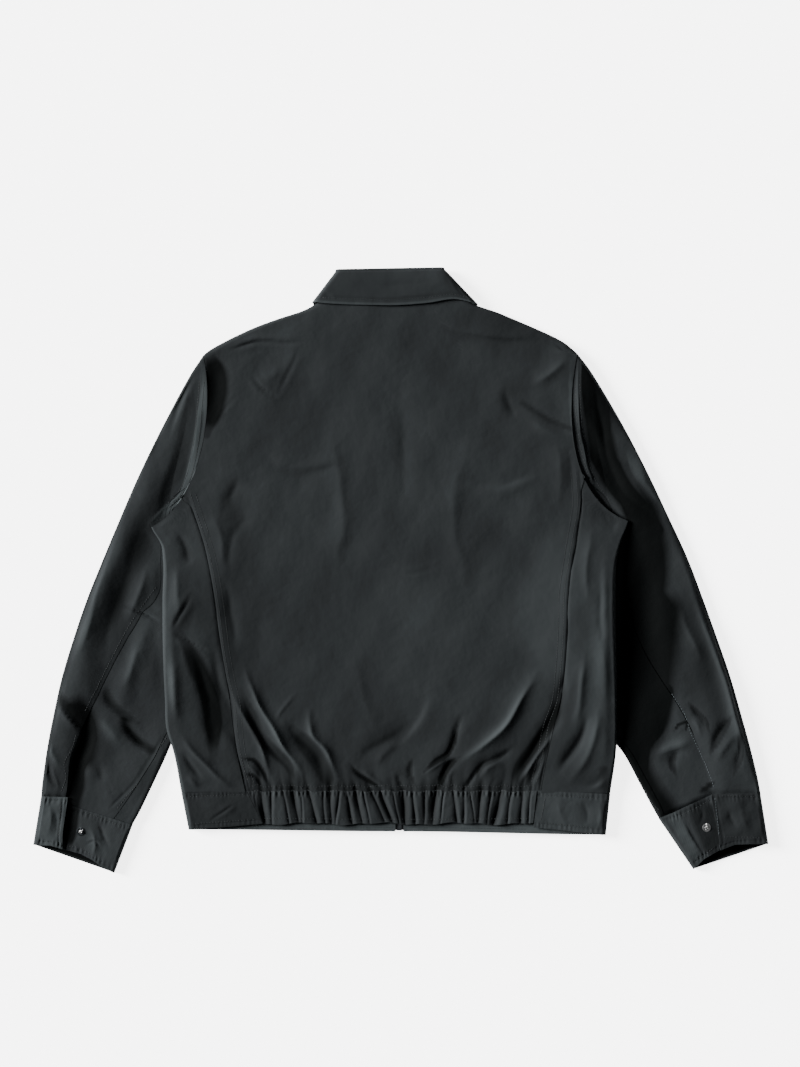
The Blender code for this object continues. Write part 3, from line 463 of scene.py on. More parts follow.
bodyHeights = table("y frontMid frontSide backMid backSide", (-279, 0, 0, 11.5, 11.5),
                    (-226, 0, 7.4, 12.5, 14.8), (-205, 0, 8.0, 13.0, 15.6), (25, 0, 8.0, 13.5, 15.6),
                    (53, 0, 7.4, 13.5, 11.0), (190, 0, 7.4, 13.0, 11.0), (240, 3.0, 7.4, 12.6, 11.0),
                    (287, 4.2, 7.4, 12.0, 11.0), (336, 4.2, 7.4, 11.3, 11.0))
armholeHeights = table("t back sleeveTop front sleeveBottom", (0, 12, 12, 2, 2), (0.3, 13, 12.5, 0.8, 0.8),
                       (0.5, 13, 12, 0.8, 0.4), (0.65, 13, 9.5, 3, 0.4), (0.77, 12.4, 6.2, 7.2, 0.4),
                       (1, 11, 6.2, 7.4, 0.4))
grid = {"sideRows": 140, "armholeRows": 74, "shoulderRows": 28, "backColumns": 190, "edge": 12.0, "soften": 9}
sidePart = np.linspace(0, 1, grid["sideRows"] + 1) ** 1.25
armT = np.linspace(1, 0, grid["armholeRows"] + 1)[1:]
shoulderPart = np.linspace(0, 1, grid["shoulderRows"] + 1)[1:]
armpitRow = grid["sideRows"]
shoulderRow = armpitRow + grid["armholeRows"]
rowCount = shoulderRow + grid["shoulderRows"] + 1
rowT = np.concatenate([np.ones(armpitRow + 1), armT, np.zeros(grid["shoulderRows"])])


def curveArray(corners, t):
    return np.stack([bezier([corner[k] for corner in corners], t) for k in (0, 1)], axis=-1)


def neckCurve(side, part, inset=0.0):
    # front neck seam, from the zip (0) to the shoulder (1)
    start = math.asin(zipHalfGap / neck[side])
    angle = mix(start, math.pi / 2, np.asarray(part, float))
    return np.stack([zipX + outward[side] * (neck[side] - inset) * np.sin(angle),
                     neckTopY - (neck["drop"] - inset) * np.cos(angle)], axis=-1)


def bodySide(side):
    # where each row of the body ends at its side fold, its armhole or its shoulder
    sign = outward[side]
    lines, tip = sideLines[side], armhole[side][3]
    y = mix(lines["y"][0], tip[1], sidePart)
    low = np.stack([bend(y, lines["y"], lines["side"]), y], axis=-1)
    ring = curveArray(armhole[side], armT) - [sign * 0.35, 0]
    shoulderY = mix(shoulderLines[side]["y"][0], shoulderLines[side]["y"][-1], shoulderPart)
    top = np.stack([bend(shoulderY, shoulderLines[side]["y"], shoulderLines[side]["x"]), shoulderY], axis=-1)
    outer = np.concatenate([low, ring, top])
    scooped = outer.copy()
    scooped[armpitRow + 1:shoulderRow + 1, 0] -= sign * frontScoop * np.sin(math.pi * armT)
    topRow = armpitRow + 1 + int(np.abs(armT - seamMeetsArmhole[side]).argmin())
    seam = outer.copy()
    seam[:topRow + 1, 0] = bend(outer[:topRow + 1, 1], lines["y"], lines["seam"])
    join = smooth(topRow - 8, topRow, np.arange(topRow + 1))
    seam[:topRow + 1, 0] = mix(seam[:topRow + 1, 0], outer[:topRow + 1, 0], join ** 3)
    seam[0, 1] = waistY
    progress = (outer[:, 1] - outer[0, 1]) / (outer[shoulderRow, 1] - outer[0, 1])
    inner = np.stack([np.full(rowCount, zipX + sign * zipHalfGap),
                      mix(waistY, neckCurve(side, 0.0)[1], progress)], axis=-1)
    inner[shoulderRow:] = neckCurve(side, np.concatenate([[0], shoulderPart]))
    height = {}
    for layer in ("back", "front"):
        fold = bend(outer[:, 1], bodyHeights["y"], bodyHeights[layer + "Side"])
        around = np.interp(rowT, armholeHeights["t"], armholeHeights[layer])
        neckHeight = np.interp(neckTopY, bodyHeights["y"], bodyHeights[layer + "Mid"])
        value = np.where(np.arange(rowCount) <= armpitRow, fold, around)
        value[shoulderRow + 1:] = mix(armholeHeights[layer][0], neckHeight, shoulderPart)
        padded = np.pad(value, grid["soften"], mode="edge")
        window = np.hanning(2 * grid["soften"] + 3)[1:-1]
        height[layer] = np.convolve(padded, window / window.sum(), mode="valid")
    return {"outer": outer, "scooped": scooped, "seam": seam, "inner": inner, "height": height,
            "topRow": topRow}


sides = {side: bodySide(side) for side in outward}


layerReach = {"back": (40.0, 130.0), "front": (68.0, 115.0)}    # how far in from the edge a layer levels out


def bodyLayer(x, y, layer):
    middle = bend(y, bodyHeights["y"], bodyHeights[layer + "Mid"])
    z = middle.copy()
    for side in outward:
        away = np.abs(x - sides[side]["outer"][:, 0:1])
        z += (sides[side]["height"][layer][:, None] - middle) * (1 - smooth(*layerReach[layer], away))
    return z


def overShoulder(side, z, away, up):
    # the cloth turns down in a quarter round at the shoulder's edge
    height = sides[side]["height"]
    middle = ((height["back"] + height["front"]) / 2)[:, None]
    rise = np.sqrt(np.clip(1 - (1 - np.minimum(away, grid["edge"]) / grid["edge"]) ** 2, 0, 1))
    rise[:shoulderRow] = 1.0
    return mix(middle + up * 1.1 * (rise < 0.02), z, rise)


# folds, creases and seams, placed from the photograph
backFolds = [
    ("ridge", 4.6, 4.8, [(246, 657), (249, 676), (257, 697), (268, 718), (279.7, 737), (291.8, 756),
                         (299, 769), (306, 787)]),
    ("trough", 3.4, 6.6, [(238, 686), (248, 708), (262, 739), (276, 753), (286.5, 763), (294, 785)]),
    ("ridge", 3.0, 4.4, [(228, 684), (240, 710), (249, 727), (263, 754), (267.6, 770), (273, 788)]),
    ("trough", 2.6, 3.2, [(242, 758), (255, 761), (263.4, 773), (267.6, 787)]),
    ("trough", 2.0, 2.6, [(245.5, 774), (255, 776), (261.3, 788)]),
    ("ridge", 1.4, 2.6, [(245.5, 762), (255, 771), (261, 780)]),
    ("ridge", 1.3, 1.8, [(296.5, 692), (286, 707), (275, 723)]),
    ("trough", 4.2, 10.0, [(284, 716), (298, 736), (314, 754), (322, 770), (331, 790)]),
    ("ridge", 4.2, 4.8, [(306, 702), (309, 722), (314, 737), (323.4, 749), (334, 770), (345, 785)]),
    ("trough", 2.6, 2.6, [(348.6, 762), (356, 772), (367.6, 780), (382, 789)]),
    ("ridge", 1.8, 3.2, [(358, 766), (366, 773), (376, 781), (384, 790)]),
    ("trough", 2.0, 8.0, [(412, 722), (398, 733), (381, 744.5), (367.6, 753), (356, 765)]),
    ("ridge", 2.0, 8.0, [(402, 738), (391, 747), (382, 757), (374, 768)]),
    ("trough", 3.2, 4.6, [(466, 708), (456, 732), (452, 746), (446.8, 755), (436, 761.5), (424, 772)]),
    ("ridge", 1.6, 2.8, [(450, 757), (435, 768), (421, 778)]),
    ("trough", 3.8, 4.6, [(460, 756), (449, 765.5), (442.6, 777), (438, 790)]),
    ("ridge", 1.6, 3.6, [(455, 768), (448, 778), (450, 790)]),
    ("ridge", 5.0, 7.0, [(540, 662), (527, 690), (512, 718), (495, 737), (482.6, 749), (466, 760),
                         (452, 772)]),
    ("trough", 2.8, 4.6, [(514, 744), (497, 758), (481.6, 766), (476, 780)]),
    ("trough", 2.4, 3.4, [(484, 761), (470, 779), (460, 792)]),
    ("ridge", 1.8, 5.0, [(503, 760), (488, 768), (480, 779)]),
    ("trough", 4.8, 8.0, [(563, 660), (560, 694), (552, 720), (540.5, 738), (529, 754), (518, 770),
                          (512, 789)]),
    ("ridge", 3.4, 4.2, [(556, 730), (545, 745), (535, 757), (526, 772), (518, 787)]),
    ("trough", 1.3, 4.6, [(541, 761), (533, 774), (525, 789)]),
    ("ridge", 1.0, 5.0, [(550, 750), (541, 770), (532, 789)]),
    ("trough", 1.6, 3.0, [(411, 758), (410, 772), (415, 784)]),
    ("crease", 0.8, 1.8, [(390, 767), (400.5, 770), (411, 779), (415, 788)]),
    ("trough", 1.5, 2.4, [(397, 772), (400.5, 782), (403, 791)]),
    ("trough", 4.0, 10.0, [(212, 640), (218, 680), (229, 726), (242, 768)]),
    ("step", 1.2, 8.0, [(430, 690), (424, 712), (408, 734), (394, 748)]),
    ("ridge", 1.2, 12.0, [(352, 650), (366, 700), (380, 736)]),
    ("crease", 2.2, 4.2, [(222, 351.5), (262, 343.5), (305, 341)]),
    ("step", 0.8, 6.0, [(226, 350), (262, 345), (306, 341)]),
    ("step", 1.5, 6.0, [(434, 319), (462, 331), (494, 340), (546, 337)]),
    ("crease", 1.7, 4.0, [(250, 372), (262, 387), (279, 399)]),
    ("crease", 0.9, 4.0, [(276, 400), (288, 375), (301, 342)]),
    ("ridge", 1.6, 8.0, [(258, 368), (272, 377), (286, 362)]),
    ("trough", 2.4, 7.0, [(502, 384), (508, 402), (514, 421)]),
    ("ridge", 2.4, 8.0, [(570, 356), (552, 372), (532, 386)]),
    ("trough", 1.3, 4.6, [(518, 401), (542, 416), (560, 424), (575, 430)]),
    ("crease", 2.0, 4.2, [(552, 344), (563, 349), (575, 351)]),
    ("ridge", 1.8, 7.0, [(522, 418), (546, 432), (572, 440)]),
    ("soft", -3.2, 12.0, [(211, 352), (215, 372), (216, 394), (212, 414), (205, 436)]),
    ("crease", 0.9, 2.2, [(243, 390), (230, 404), (214, 424)]),
    ("trough", 1.9, 7.0, [(238, 474), (230, 496), (224, 518)]),
    ("trough", 1.7, 9.0, [(252, 512), (236, 532), (231, 552), (229, 574)]),
    ("ridge", 1.4, 8.0, [(214, 508), (222, 540), (224, 572)]),
    ("trough", 2.0, 9.0, [(222, 574), (229, 606), (234, 632), (236, 660)]),
    ("ridge", 1.8, 11.0, [(330, 420), (342, 500), (336, 590)]),
    ("ridge", 1.5, 13.0, [(468, 430), (454, 520), (470, 610)]),
    ("trough", 1.5, 14.0, [(398, 360), (404, 450), (396, 540)]),
    ("step", 1.3, 8.0, [(255, 450), (300, 470), (352, 462)]),
    ("step", 1.2, 8.0, [(548, 470), (500, 486), (452, 478)]),
    ("crease", 0.9, 3.5, [(372, 560), (410, 572), (446, 566)]),
    ("trough", 1.2, 8.0, [(566, 440), (571, 472), (570, 506)]),
    ("ridge", 1.2, 8.0, [(554, 438), (560, 476), (558, 516)]),
    ("seam", 0.6, 1.1, [(187, 494), (196, 521), (205, 549), (209, 566), (216, 610), (222, 656), (227, 683),
                        (232, 705), (234, 729), (237, 753), (243, 776), (246, 790)]),
    ("seam", 0.6, 1.1, [(579.5, 473), (581.5, 507), (577, 534), (572, 564), (568, 592), (567, 630),
                        (566, 649),
                        (564, 676), (561, 701), (552.5, 726), (547.5, 751), (542, 776), (540, 790)]),
    ("strip", 0.2, 7.0, [(191, 492), (200, 519), (209, 547), (213, 565), (220, 609), (226, 655), (231, 682),
                         (236, 704), (238, 728), (241, 752), (247, 775), (250, 790)]),
    ("strip", 0.2, 7.0, [(575.5, 473), (577.5, 507), (573, 534), (568, 564), (564, 592), (563, 630),
                         (562, 649),
                         (560, 676), (557, 701), (548.5, 726), (543.5, 751), (538, 776), (536, 790)]),
]
sidePanelFolds = [
    ("soft", 3.0, 15.0, [(614, 520), (609, 580), (606, 650), (607, 720), (606, 775)]),
    ("soft", 2.5, 9.0, [(165, 545), (168, 640), (175, 745)]),
    ("ridge", 3.2, 5.0, [(180, 730), (189, 747), (201, 762), (213, 773), (241, 789)]),
    ("trough", 2.4, 4.4, [(182, 750), (190, 768), (202, 783)]),
    ("ridge", 1.4, 3.0, [(184, 776), (191, 783), (198, 790)]),
    ("trough", 5.0, 12.0, [(182, 636), (197, 668), (210, 704), (215, 736), (212, 766)]),
    ("crease", 2.0, 4.0, [(196, 592), (182, 612), (168, 632)]),
    ("crease", 2.0, 4.0, [(168, 630), (188, 641), (212, 653)]),
    ("ridge", 2.4, 9.0, [(176, 560), (180, 592), (178, 622)]),
    ("ridge", 2.6, 8.0, [(170, 655), (174, 690), (180, 726)]),
    ("trough", 2.6, 7.0, [(176, 528), (184, 546), (188, 570)]),
    ("ridge", 3.4, 8.0, [(585, 650), (581, 693), (571, 730)]),
    ("trough", 4.0, 7.5, [(588, 708), (577, 745), (554, 782)]),
    ("ridge", 3.0, 7.0, [(600, 700), (594, 736), (580, 770), (566, 790)]),
    ("trough", 2.6, 9.0, [(603, 560), (600, 610), (602, 660)]),
    ("ridge", 2.0, 8.0, [(592, 520), (588, 560), (586, 610)]),
    ("step", 1.6, 6.0, [(612, 770), (600, 782), (588, 790)]),
    ("trough", 2.4, 6.0, [(604, 492), (610, 512), (612, 536)]),
]


# painted highlights (+) and painted shade (-) in the cloth's colour, where light and shade fall on the folds
fades = {
    "body": [
        ("patch", -0.85, 11.5, [(181, 634), (196, 664), (207, 690), (213, 722), (213, 762)]),
        ("patch", -0.55, 6.4, [(241, 690), (252, 716), (262, 739), (276, 753), (287, 764), (294, 788)]),
        ("patch", -0.6, 11.0, [(292, 728), (310, 750), (319, 762), (325, 774), (331, 792)]),
        ("patch", -0.8, 2.8, [(242, 758), (255, 761), (263.4, 773), (267.6, 787)]),
        ("patch", -0.6, 2.2, [(245.5, 774), (255, 776), (261.3, 788)]),
        ("patch", -0.8, 2.6, [(350, 764), (356, 772), (367.6, 780), (380, 788)]),
        ("patch", -0.9, 3.8, [(458, 726), (452, 746), (446.8, 755), (436, 761.5), (424, 772)]),
        ("patch", -0.9, 4.8, [(459, 757), (449, 765.5), (442.6, 777), (438, 790)]),
        ("patch", -0.5, 3.6, [(512, 746), (497, 758), (481.6, 766), (476, 782)]),
        ("patch", -0.55, 2.8, [(484, 761), (470, 779), (460, 792)]),
        ("patch", -0.7, 7.6, [(560, 694), (552, 720), (540.5, 738), (529, 754), (518, 770), (512, 792)]),
        ("patch", -0.4, 3.4, [(541, 761), (533, 774), (525, 789)]),
        ("patch", -0.5, 2.2, [(411, 758), (410, 772), (415, 786)]),
        ("patch", -1.0, 14.0, [(208, 352), (215, 370), (217, 388), (213, 408), (206, 434)]),
        ("patch", 0.4, 3.2, [(570.5, 360), (570.5, 390), (572, 412), (574, 432), (577.5, 450), (583, 468),
                             (590, 483),
                             (602, 498), (624, 514)]),
        ("shade", -0.5, 5.0, [(604, 770), (606, 800), (606, 832)]),
        ("soft", -0.3, 9.0, [(240, 468), (230, 500), (240, 534), (232, 580)]),
        ("soft", -0.25, 9.0, [(507, 372), (512, 398), (508, 428)]),
        ("shade", -0.4, 3.0, [(522, 403), (542, 416), (558, 424), (572, 429)]),
        ("soft", 0.2, 24.0, [(592, 560), (592, 640), (590, 720), (580, 790)]),
        ("soft", -0.2, 12.0, [(243, 486), (226, 520), (214, 548)]),
        ("soft", -0.3, 8.0, [(586, 640), (576, 690), (560, 740)]),
        ("soft", -0.45, 9.0, [(198, 590), (186, 615), (176, 640)]),
        ("soft", -0.3, 14.0, [(412, 722), (398, 733), (381, 744.5), (367.6, 753), (356, 765)]),
        ("soft", 0.35, 4.2, [(256, 697), (279.7, 737), (291.8, 756), (305, 785)]),
        ("soft", 0.3, 4.5, [(308, 706), (314, 737), (323.4, 749), (334, 770), (345, 785)]),
        ("soft", 0.45, 6.0, [(520, 706), (495, 737), (482.6, 749), (466, 760), (454, 770)]),
        ("soft", 0.2, 9.0, [(604, 560), (600, 640), (596, 700)]),
        ("soft", 0.4, 6.0, [(162, 560), (164, 640), (170, 730)]),
        ("soft", 0.2, 9.0, [(554, 372), (566, 410), (570, 450)]),
        ("soft", -0.35, 34.0, [(468, 300), (515, 322), (560, 350)]),
    ],
    "left": [
        ("soft", -0.3, 15.0, [(158, 490), (152, 505), (143, 538), (124, 585), (106, 630), (88, 676)]),
        ("soft", -0.3, 11.0, [(150, 500), (138, 530), (122, 566)]),
        ("patch", -1.0, 9.6, [(84, 708), (89, 728), (86, 744), (80, 758), (77, 770), (77, 784), (73, 799),
                              (70.5, 817),
                              (68, 850)]),
        ("shade", -0.75, 6.5, [(56, 696), (68, 708), (80, 722), (90, 738)]),
        ("shade", -1.0, 12.0, [(78, 708), (89, 722), (91, 738), (87, 758)]),
        ("shade", -0.8, 5.0, [(123, 721), (129, 731), (137, 740), (150, 750)]),
        ("patch", -0.5, 6.0, [(104, 684), (110, 702), (121, 713), (137, 723)]),
        ("patch", -0.5, 3.0, [(46, 760), (50, 774), (57, 790)]),
        ("soft", 0.3, 9.0, [(92, 716), (112, 732), (126, 752)]),
        ("soft", 0.35, 4.0, [(48, 738), (52, 752), (58, 763), (66, 773)]),
        ("patch", 0.7, 5.0, [(203, 366), (204, 384), (202.5, 406), (197.5, 440), (192, 466), (187, 484),
                             (180, 498),
                             (165, 510), (150, 525)]),
        ("patch", -0.2, 9.0, [(191, 384), (190, 410), (184, 440), (176, 470), (164, 490), (148, 508)]),
        ("soft", 0.2, 8.0, [(160, 590), (140, 640), (124, 680)]),
        ("patch", 0.6, 4.6, [(188, 488), (178, 500), (165, 511), (151, 524)]),
    ],
    "right": [
        ("patch", -0.9, 13.0, [(585, 338), (591, 380), (597, 410), (604, 440), (610, 465), (622, 488),
                               (640, 508), (660, 530)]),
        ("patch", -0.75, 8.0, [(580, 352), (596, 376), (610, 404)]),
        ("patch", -1.0, 30.0, [(622, 470), (643, 520), (644, 560), (642, 620), (640, 690), (638, 770)]),
        ("shade", -1.0, 18.0, [(668, 610), (664, 660), (656, 706), (646, 738), (630, 762)]),
        ("shade", -1.0, 13.0, [(628, 716), (638, 760), (652, 790), (668, 812)]),
        ("patch", -0.9, 1.5, [(674, 731), (680, 724), (687, 721)]),
        ("patch", -0.9, 1.5, [(685, 719), (687, 724), (686, 731)]),
        ("patch", 0.35, 9.0, [(629, 454), (639, 472), (649, 486), (662, 504)]),
        ("patch", -1.0, 8.0, [(620, 738), (634, 764), (644, 782)]),
        ("soft", -0.4, 30.0, [(690, 560), (706, 620), (716, 680), (728, 740)]),
        ("patch", -0.55, 7.0, [(660, 700), (667, 690), (664, 720), (652, 745)]),
        ("patch", -0.6, 3.2, [(689, 704), (697, 712), (705, 720), (709, 731)]),
        ("patch", -0.55, 4.6, [(732, 716), (721, 733), (710, 753)]),
        ("patch", -0.5, 3.6, [(738, 732), (741, 754), (734, 774)]),
        ("patch", -0.5, 4.0, [(676, 752), (672, 764), (676, 774)]),
        ("patch", -0.8, 3.0, [(700, 793), (707, 788), (714, 783)]),
        ("patch", 0.05, 5.0, [(574, 352), (575, 380), (575.5, 405), (577.5, 430), (581, 450)]),
        ("patch", -1.0, 10.0, [(584, 356), (590, 400), (594, 430), (600, 460), (612, 486)]),
        ("shade", -1.0, 9.0, [(597, 458), (609, 482), (625, 502), (642, 522)]),
        ("soft", -0.9, 12.0, [(590, 356), (602, 386), (612, 414), (621, 440)]),
        ("soft", 0.3, 7.0, [(690, 590), (712, 650), (732, 720), (748, 788)]),
        ("soft", 0.3, 8.0, [(652, 756), (672, 746), (694, 738)]),
    ],
}


# slow swells of slack cloth on each piece: size, length of a wave, its direction in degrees, its start
slack = {
    "back": [(0.7, 210.0, 12, 0.6), (0.5, 128.0, 74, 2.0), (0.35, 83.0, 40, 1.2), (0.22, 51.0, -28, 0.3)],
    "side": [(0.5, 92.0, 80, 1.0), (0.3, 57.0, 15, 0)],
    "sleeve": [(0.6, 96.0, 60, 0.4), (0.35, 61.0, -35, 1.8), (0.25, 38.0, 10, 0.2)],
    "cuff": [(0.3, 41.0, 20, 0.5), (0.2, 23.0, -40, 1.0)],
    "band": [(0.35, 66.0, 25, 1.0)],
}
reliefPaintedLight = {"crest": 0.35, "valley": 0.45}


def paintedLightFromRelief(rise):
    # painted highlight on the crests of folds and painted shade in their valleys
    return smooth(0.6, 5.0, rise) * reliefPaintedLight["crest"] - smooth(0.8, 4.5, -rise) * reliefPaintedLight["valley"]


# back
def buildBack():
    left, right = sides["left"]["seam"], sides["right"]["seam"]
    part = np.linspace(0, 1, grid["backColumns"] + 1)[None, :]
    part = mix(part, smooth(0, 1, part), 0.35)
    x = mix(left[:, 0:1], right[:, 0:1], part)
    y = mix(left[:, 1:2], right[:, 1:2], part)
    y[0] = waistY
    z = bodyLayer(x, y, "back")
    fade = smooth(waistY - 1, waistY + 7, y)
    y[0] -= bodyFit["tuck"]
    rise = relief(x, y, backFolds) + waves(x, y, slack["back"])
    above = np.maximum(y - waistY, 0)
    rise -= pleatDepth(x, y, pleatFit["backDepth"], pleatFit["widen"]) * np.exp(-above / 12.0)
    rise += shirring(x, y - waistY - 3.0) * smooth(-200, -178, x) * smooth(176, 158, x)
    z += rise * mix(0.7, 1.0, fade)
    y = y + seamWander(x, above)
    width = np.abs(right[:, 0:1] - left[:, 0:1])
    z = np.where(part < 0.5, overShoulder("left", z, part * width, 1.0),
                 overShoulder("right", z, (1 - part) * width, 1.0))
    leastZ = bodyLayer(x, y, "front") + bodyFit["layerGap"]
    z = np.maximum(z, np.minimum(leastZ, z + 3.0))
    z[0] = bodyFit["backHeight"] - bodyFit["tuck"]
    # painted light and shade from the folds and the listed marks, with painted shade in the valleys of the
    # gathers
    paintedLight = paintedLightFromRelief(rise) + relief(x, y, fades["body"])
    paintedLight -= pleatDepth(x, y, pleatFit["backPaintedShade"], pleatFit["widen"]) * np.exp(-above / 10.0)
    return standFor(sheetMesh("back_cloth", x, y, z, bodyFit["wall"], paintedLight=paintedLight), "back", "panel")


# valleys between the gathers of the elastic: where they start and end on the photo, and their half width
pleats = table("top low width", (242, 252, 1.4), (249.7, 257, 1.7), (253.5, 259.5, 1.3), (261.3, 264, 4.2),
               (270.7, 272.3, 2.2), (283, 290, 1.6), (292.8, 298.6, 3.9), (301, 303, 1.4),
               (308.6, 317.6, 3.0),
               (323, 325, 1.8), (330.2, 331.3, 3.2), (339.7, 336, 1.7), (346.5, 352.8, 2.8),
               (355.5, 362.3, 3.4),
               (363, 370, 1.4), (370.7, 386.5, 2.8), (380.2, 392.8, 3.4), (393, 399, 1.4),
               (402.6, 405.8, 4.8),
               (412.6, 415.3, 2.4), (425.3, 424.2, 2.2), (436.3, 432.1, 4.4), (444, 440, 1.4),
               (453, 458, 2.6),
               (464.2, 464.2, 1.9), (470, 475, 1.2), (481.6, 477.9, 3.4), (492, 487, 1.5),
               (501.6, 494.2, 4.4),
               (511.6, 507, 1.9), (523.2, 520.8, 2.8), (531, 528, 1.4))
pleatFit = {"waist": 790.5, "hem": 824.0, "easy": 1.0, "steep": 0.45, "lip": 0.12, "stop": 0.45, "full": 3.8,
            "depth": 4.4, "paintedLight": 1.35, "backDepth": 4.4, "backPaintedShade": 1.3, "widen": 1.5}


def pleatDepth(x, y, depth, widen=1.0):
    # sharp valleys with an easy slope on their left and a steep one on their right
    top, low = (onPhoto([(0, pleatFit[key])])[0, 1] for key in ("waist", "hem"))
    along = np.clip((y - top) / (low - top), -0.6, 1.1)
    total = np.zeros_like(x)
    for start, end, width in zip(pleats["top"], pleats["low"], pleats["width"]):
        line = (mix(start, end, along) - photo["middleX"]) * photo["pitch"]
        line = line + 0.7 * np.sin(along * 5.0 + start) * along
        away = (x - line) / (width * photo["pitch"] * widen)
        valley = np.exp(-np.abs(away) / np.where(away < 0, pleatFit["easy"], pleatFit["steep"]))
        lip = pleatFit["lip"] * np.exp(-((away - 1.4) / 0.7) ** 2)
        steady = 1 - pleatFit["stop"] * (0.5 - 0.5 * np.sin(along * 4.2 + start * 1.7))
        total += (valley - lip) * steady * min(width, pleatFit["full"]) / pleatFit["full"]
    return depth * total


def seamWander(x, away):
    # the gathered seam is not straight
    wander = 1.2 * np.sin(x / 4.9 + 1.3 * np.sin(x / 9.7)) + 0.5 * np.sin(x / 2.6 + 2.0)
    return wander * np.exp(-np.maximum(away, 0) / 5.0) * smooth(-192, -182, x) * smooth(166, 158, x)


def shirring(x, below):
    # small puckers along a row of stitches through gathered cloth
    beat = np.sin(x / 0.9 + 1.4 * np.sin(x / 7.0)) * (0.6 + 0.4 * np.sin(x / 5.3))
    return 0.7 * beat * np.exp(-(below / 3.4) ** 2)


# fronts, from the zip round the side to the side-back seam
foldAngles = np.radians(np.linspace(-80, 80, 9))
frontFit = {"columns": 44, "topColumns": 30, "mostInset": 0.7, "mostFold": 2.5, "foldHighlight": 0.2,
            "tuckIn": 1.6, "flapDrop": 1.7}


def buildFront(side):
    data, sign = sides[side], outward[side]
    height = data["height"]
    isSide = (np.arange(rowCount) <= armpitRow)[:, None]
    radius = ((height["back"] - height["front"]) / 2)[:, None]
    end = data["scooped"].copy()
    end[:, 0:1] -= sign * radius * isSide
    inner = data["inner"]
    span = np.linalg.norm(end - inner, axis=1)[:, None]
    inset = np.minimum(grid["edge"] / span, frontFit["mostInset"])
    lowPart = np.linspace(0, 1, frontFit["columns"])[None, :]
    awayPart = np.array([1.0, 0.75, 0.5, 0.3, 0.15, 0.05, 0.0])[None, :]
    part = np.concatenate([lowPart * (1 - inset), 1 - inset * awayPart[:, 1:]], axis=1)
    away = np.concatenate([np.full((rowCount, frontFit["columns"]), grid["edge"]),
                           np.repeat(grid["edge"] * awayPart[:, 1:], rowCount, axis=0)], axis=1)
    x = mix(inner[:, 0:1], end[:, 0:1], part)
    y = mix(inner[:, 1:2], end[:, 1:2], part)
    y[0] = mix(waistY, data["outer"][0, 1], smooth(0, 1, x[0] / data["outer"][0, 0]))
    z = bodyLayer(x, y, "front")
    under = relief(x, y, hiddenFolds) * smooth(0, 30, x * sign - 18) * smooth(waistY, waistY + 20, y)
    z = overShoulder(side, z + np.clip(under, 0, frontFit["mostFold"]), away, -1.0)
    foldX = data["outer"][:, 0:1] - sign * radius * (1 - np.cos(foldAngles))
    foldY = np.repeat(data["outer"][:, 1:2], len(foldAngles), axis=1)
    foldZ = height["front"][:, None] + radius * (1 + np.sin(foldAngles))
    start = data["outer"].copy()
    start[:, 0:1] -= sign * radius * isSide
    stop = data["seam"][np.minimum(np.arange(rowCount), data["topRow"])] + [sign * 0.7, 0]
    topPart = np.linspace(0, 1, frontFit["topColumns"])[None, :]
    topX = mix(start[:, 0:1], stop[:, 0:1], topPart)
    topY = mix(start[:, 1:2], stop[:, 1:2], topPart)
    topZ = bodyLayer(topX, topY, "back")
    fade = smooth(waistY - 1, waistY + 8, topY)
    rise = relief(topX, topY, sidePanelFolds + backFolds) + waves(topX, topY, slack["side"])
    inward = smooth(0.0, 12.0, np.abs(topX - start[:, 0:1]))
    topZ += rise * fade * inward
    topZ = np.maximum(topZ, height["front"][:, None] + bodyFit["fewestGap"])
    topZ[data["topRow"] + 1:] -= frontFit["flapDrop"]    # allowance closes the corner of three seams
    # painted light and shade on the side panel, and a painted highlight on the side fold
    paintedLight = np.concatenate([np.zeros((rowCount, x.shape[1] + len(foldAngles))),
                           paintedLightFromRelief(rise) + relief(topX, topY, fades["body"])], axis=1)
    paintedLight[:, x.shape[1]:x.shape[1] + len(foldAngles)] = frontFit["foldHighlight"]
    underLast = x.shape[1] - 1
    topFirst = x.shape[1] + len(foldAngles)
    x = np.concatenate([x, foldX, topX], axis=1)
    y = np.concatenate([y, foldY, topY], axis=1)
    z = np.concatenate([z, foldZ, topZ], axis=1)
    y[0] -= bodyFit["tuck"]
    z[:1] = tucked(z[:1], 1.0)
    x[0, underLast:topFirst] -= sign * frontFit["tuckIn"]
    keep = np.ones((rowCount - 1, x.shape[1] - 1), bool)
    keep[armpitRow:, underLast:topFirst] = False
    keep[data["topRow"] + 2:, topFirst:] = False
    piece = sheetMesh("front_cloth_" + side, x, y, np.maximum(z, 0), bodyFit["wall"], keep,
                      flip=side == "right", paintedLight=paintedLight)
    return standFor(piece, "front_" + side, "panel")


# slack folds of the fronts, which lie underneath
hiddenFolds = [
    ("ridge", 2.4, 9.0, [(300, 420), (318, 520), (308, 640)]),
    ("ridge", 2.0, 7.0, [(352, 560), (346, 650), (360, 740)]),
    ("ridge", 2.2, 8.0, [(470, 400), (462, 500), (476, 610)]),
    ("ridge", 2.0, 7.0, [(520, 600), (512, 680), (500, 760)]),
    ("ridge", 1.8, 6.0, [(300, 700), (322, 740), (350, 768)]),
    ("ridge", 1.8, 6.0, [(440, 680), (452, 730), (448, 770)]),
]

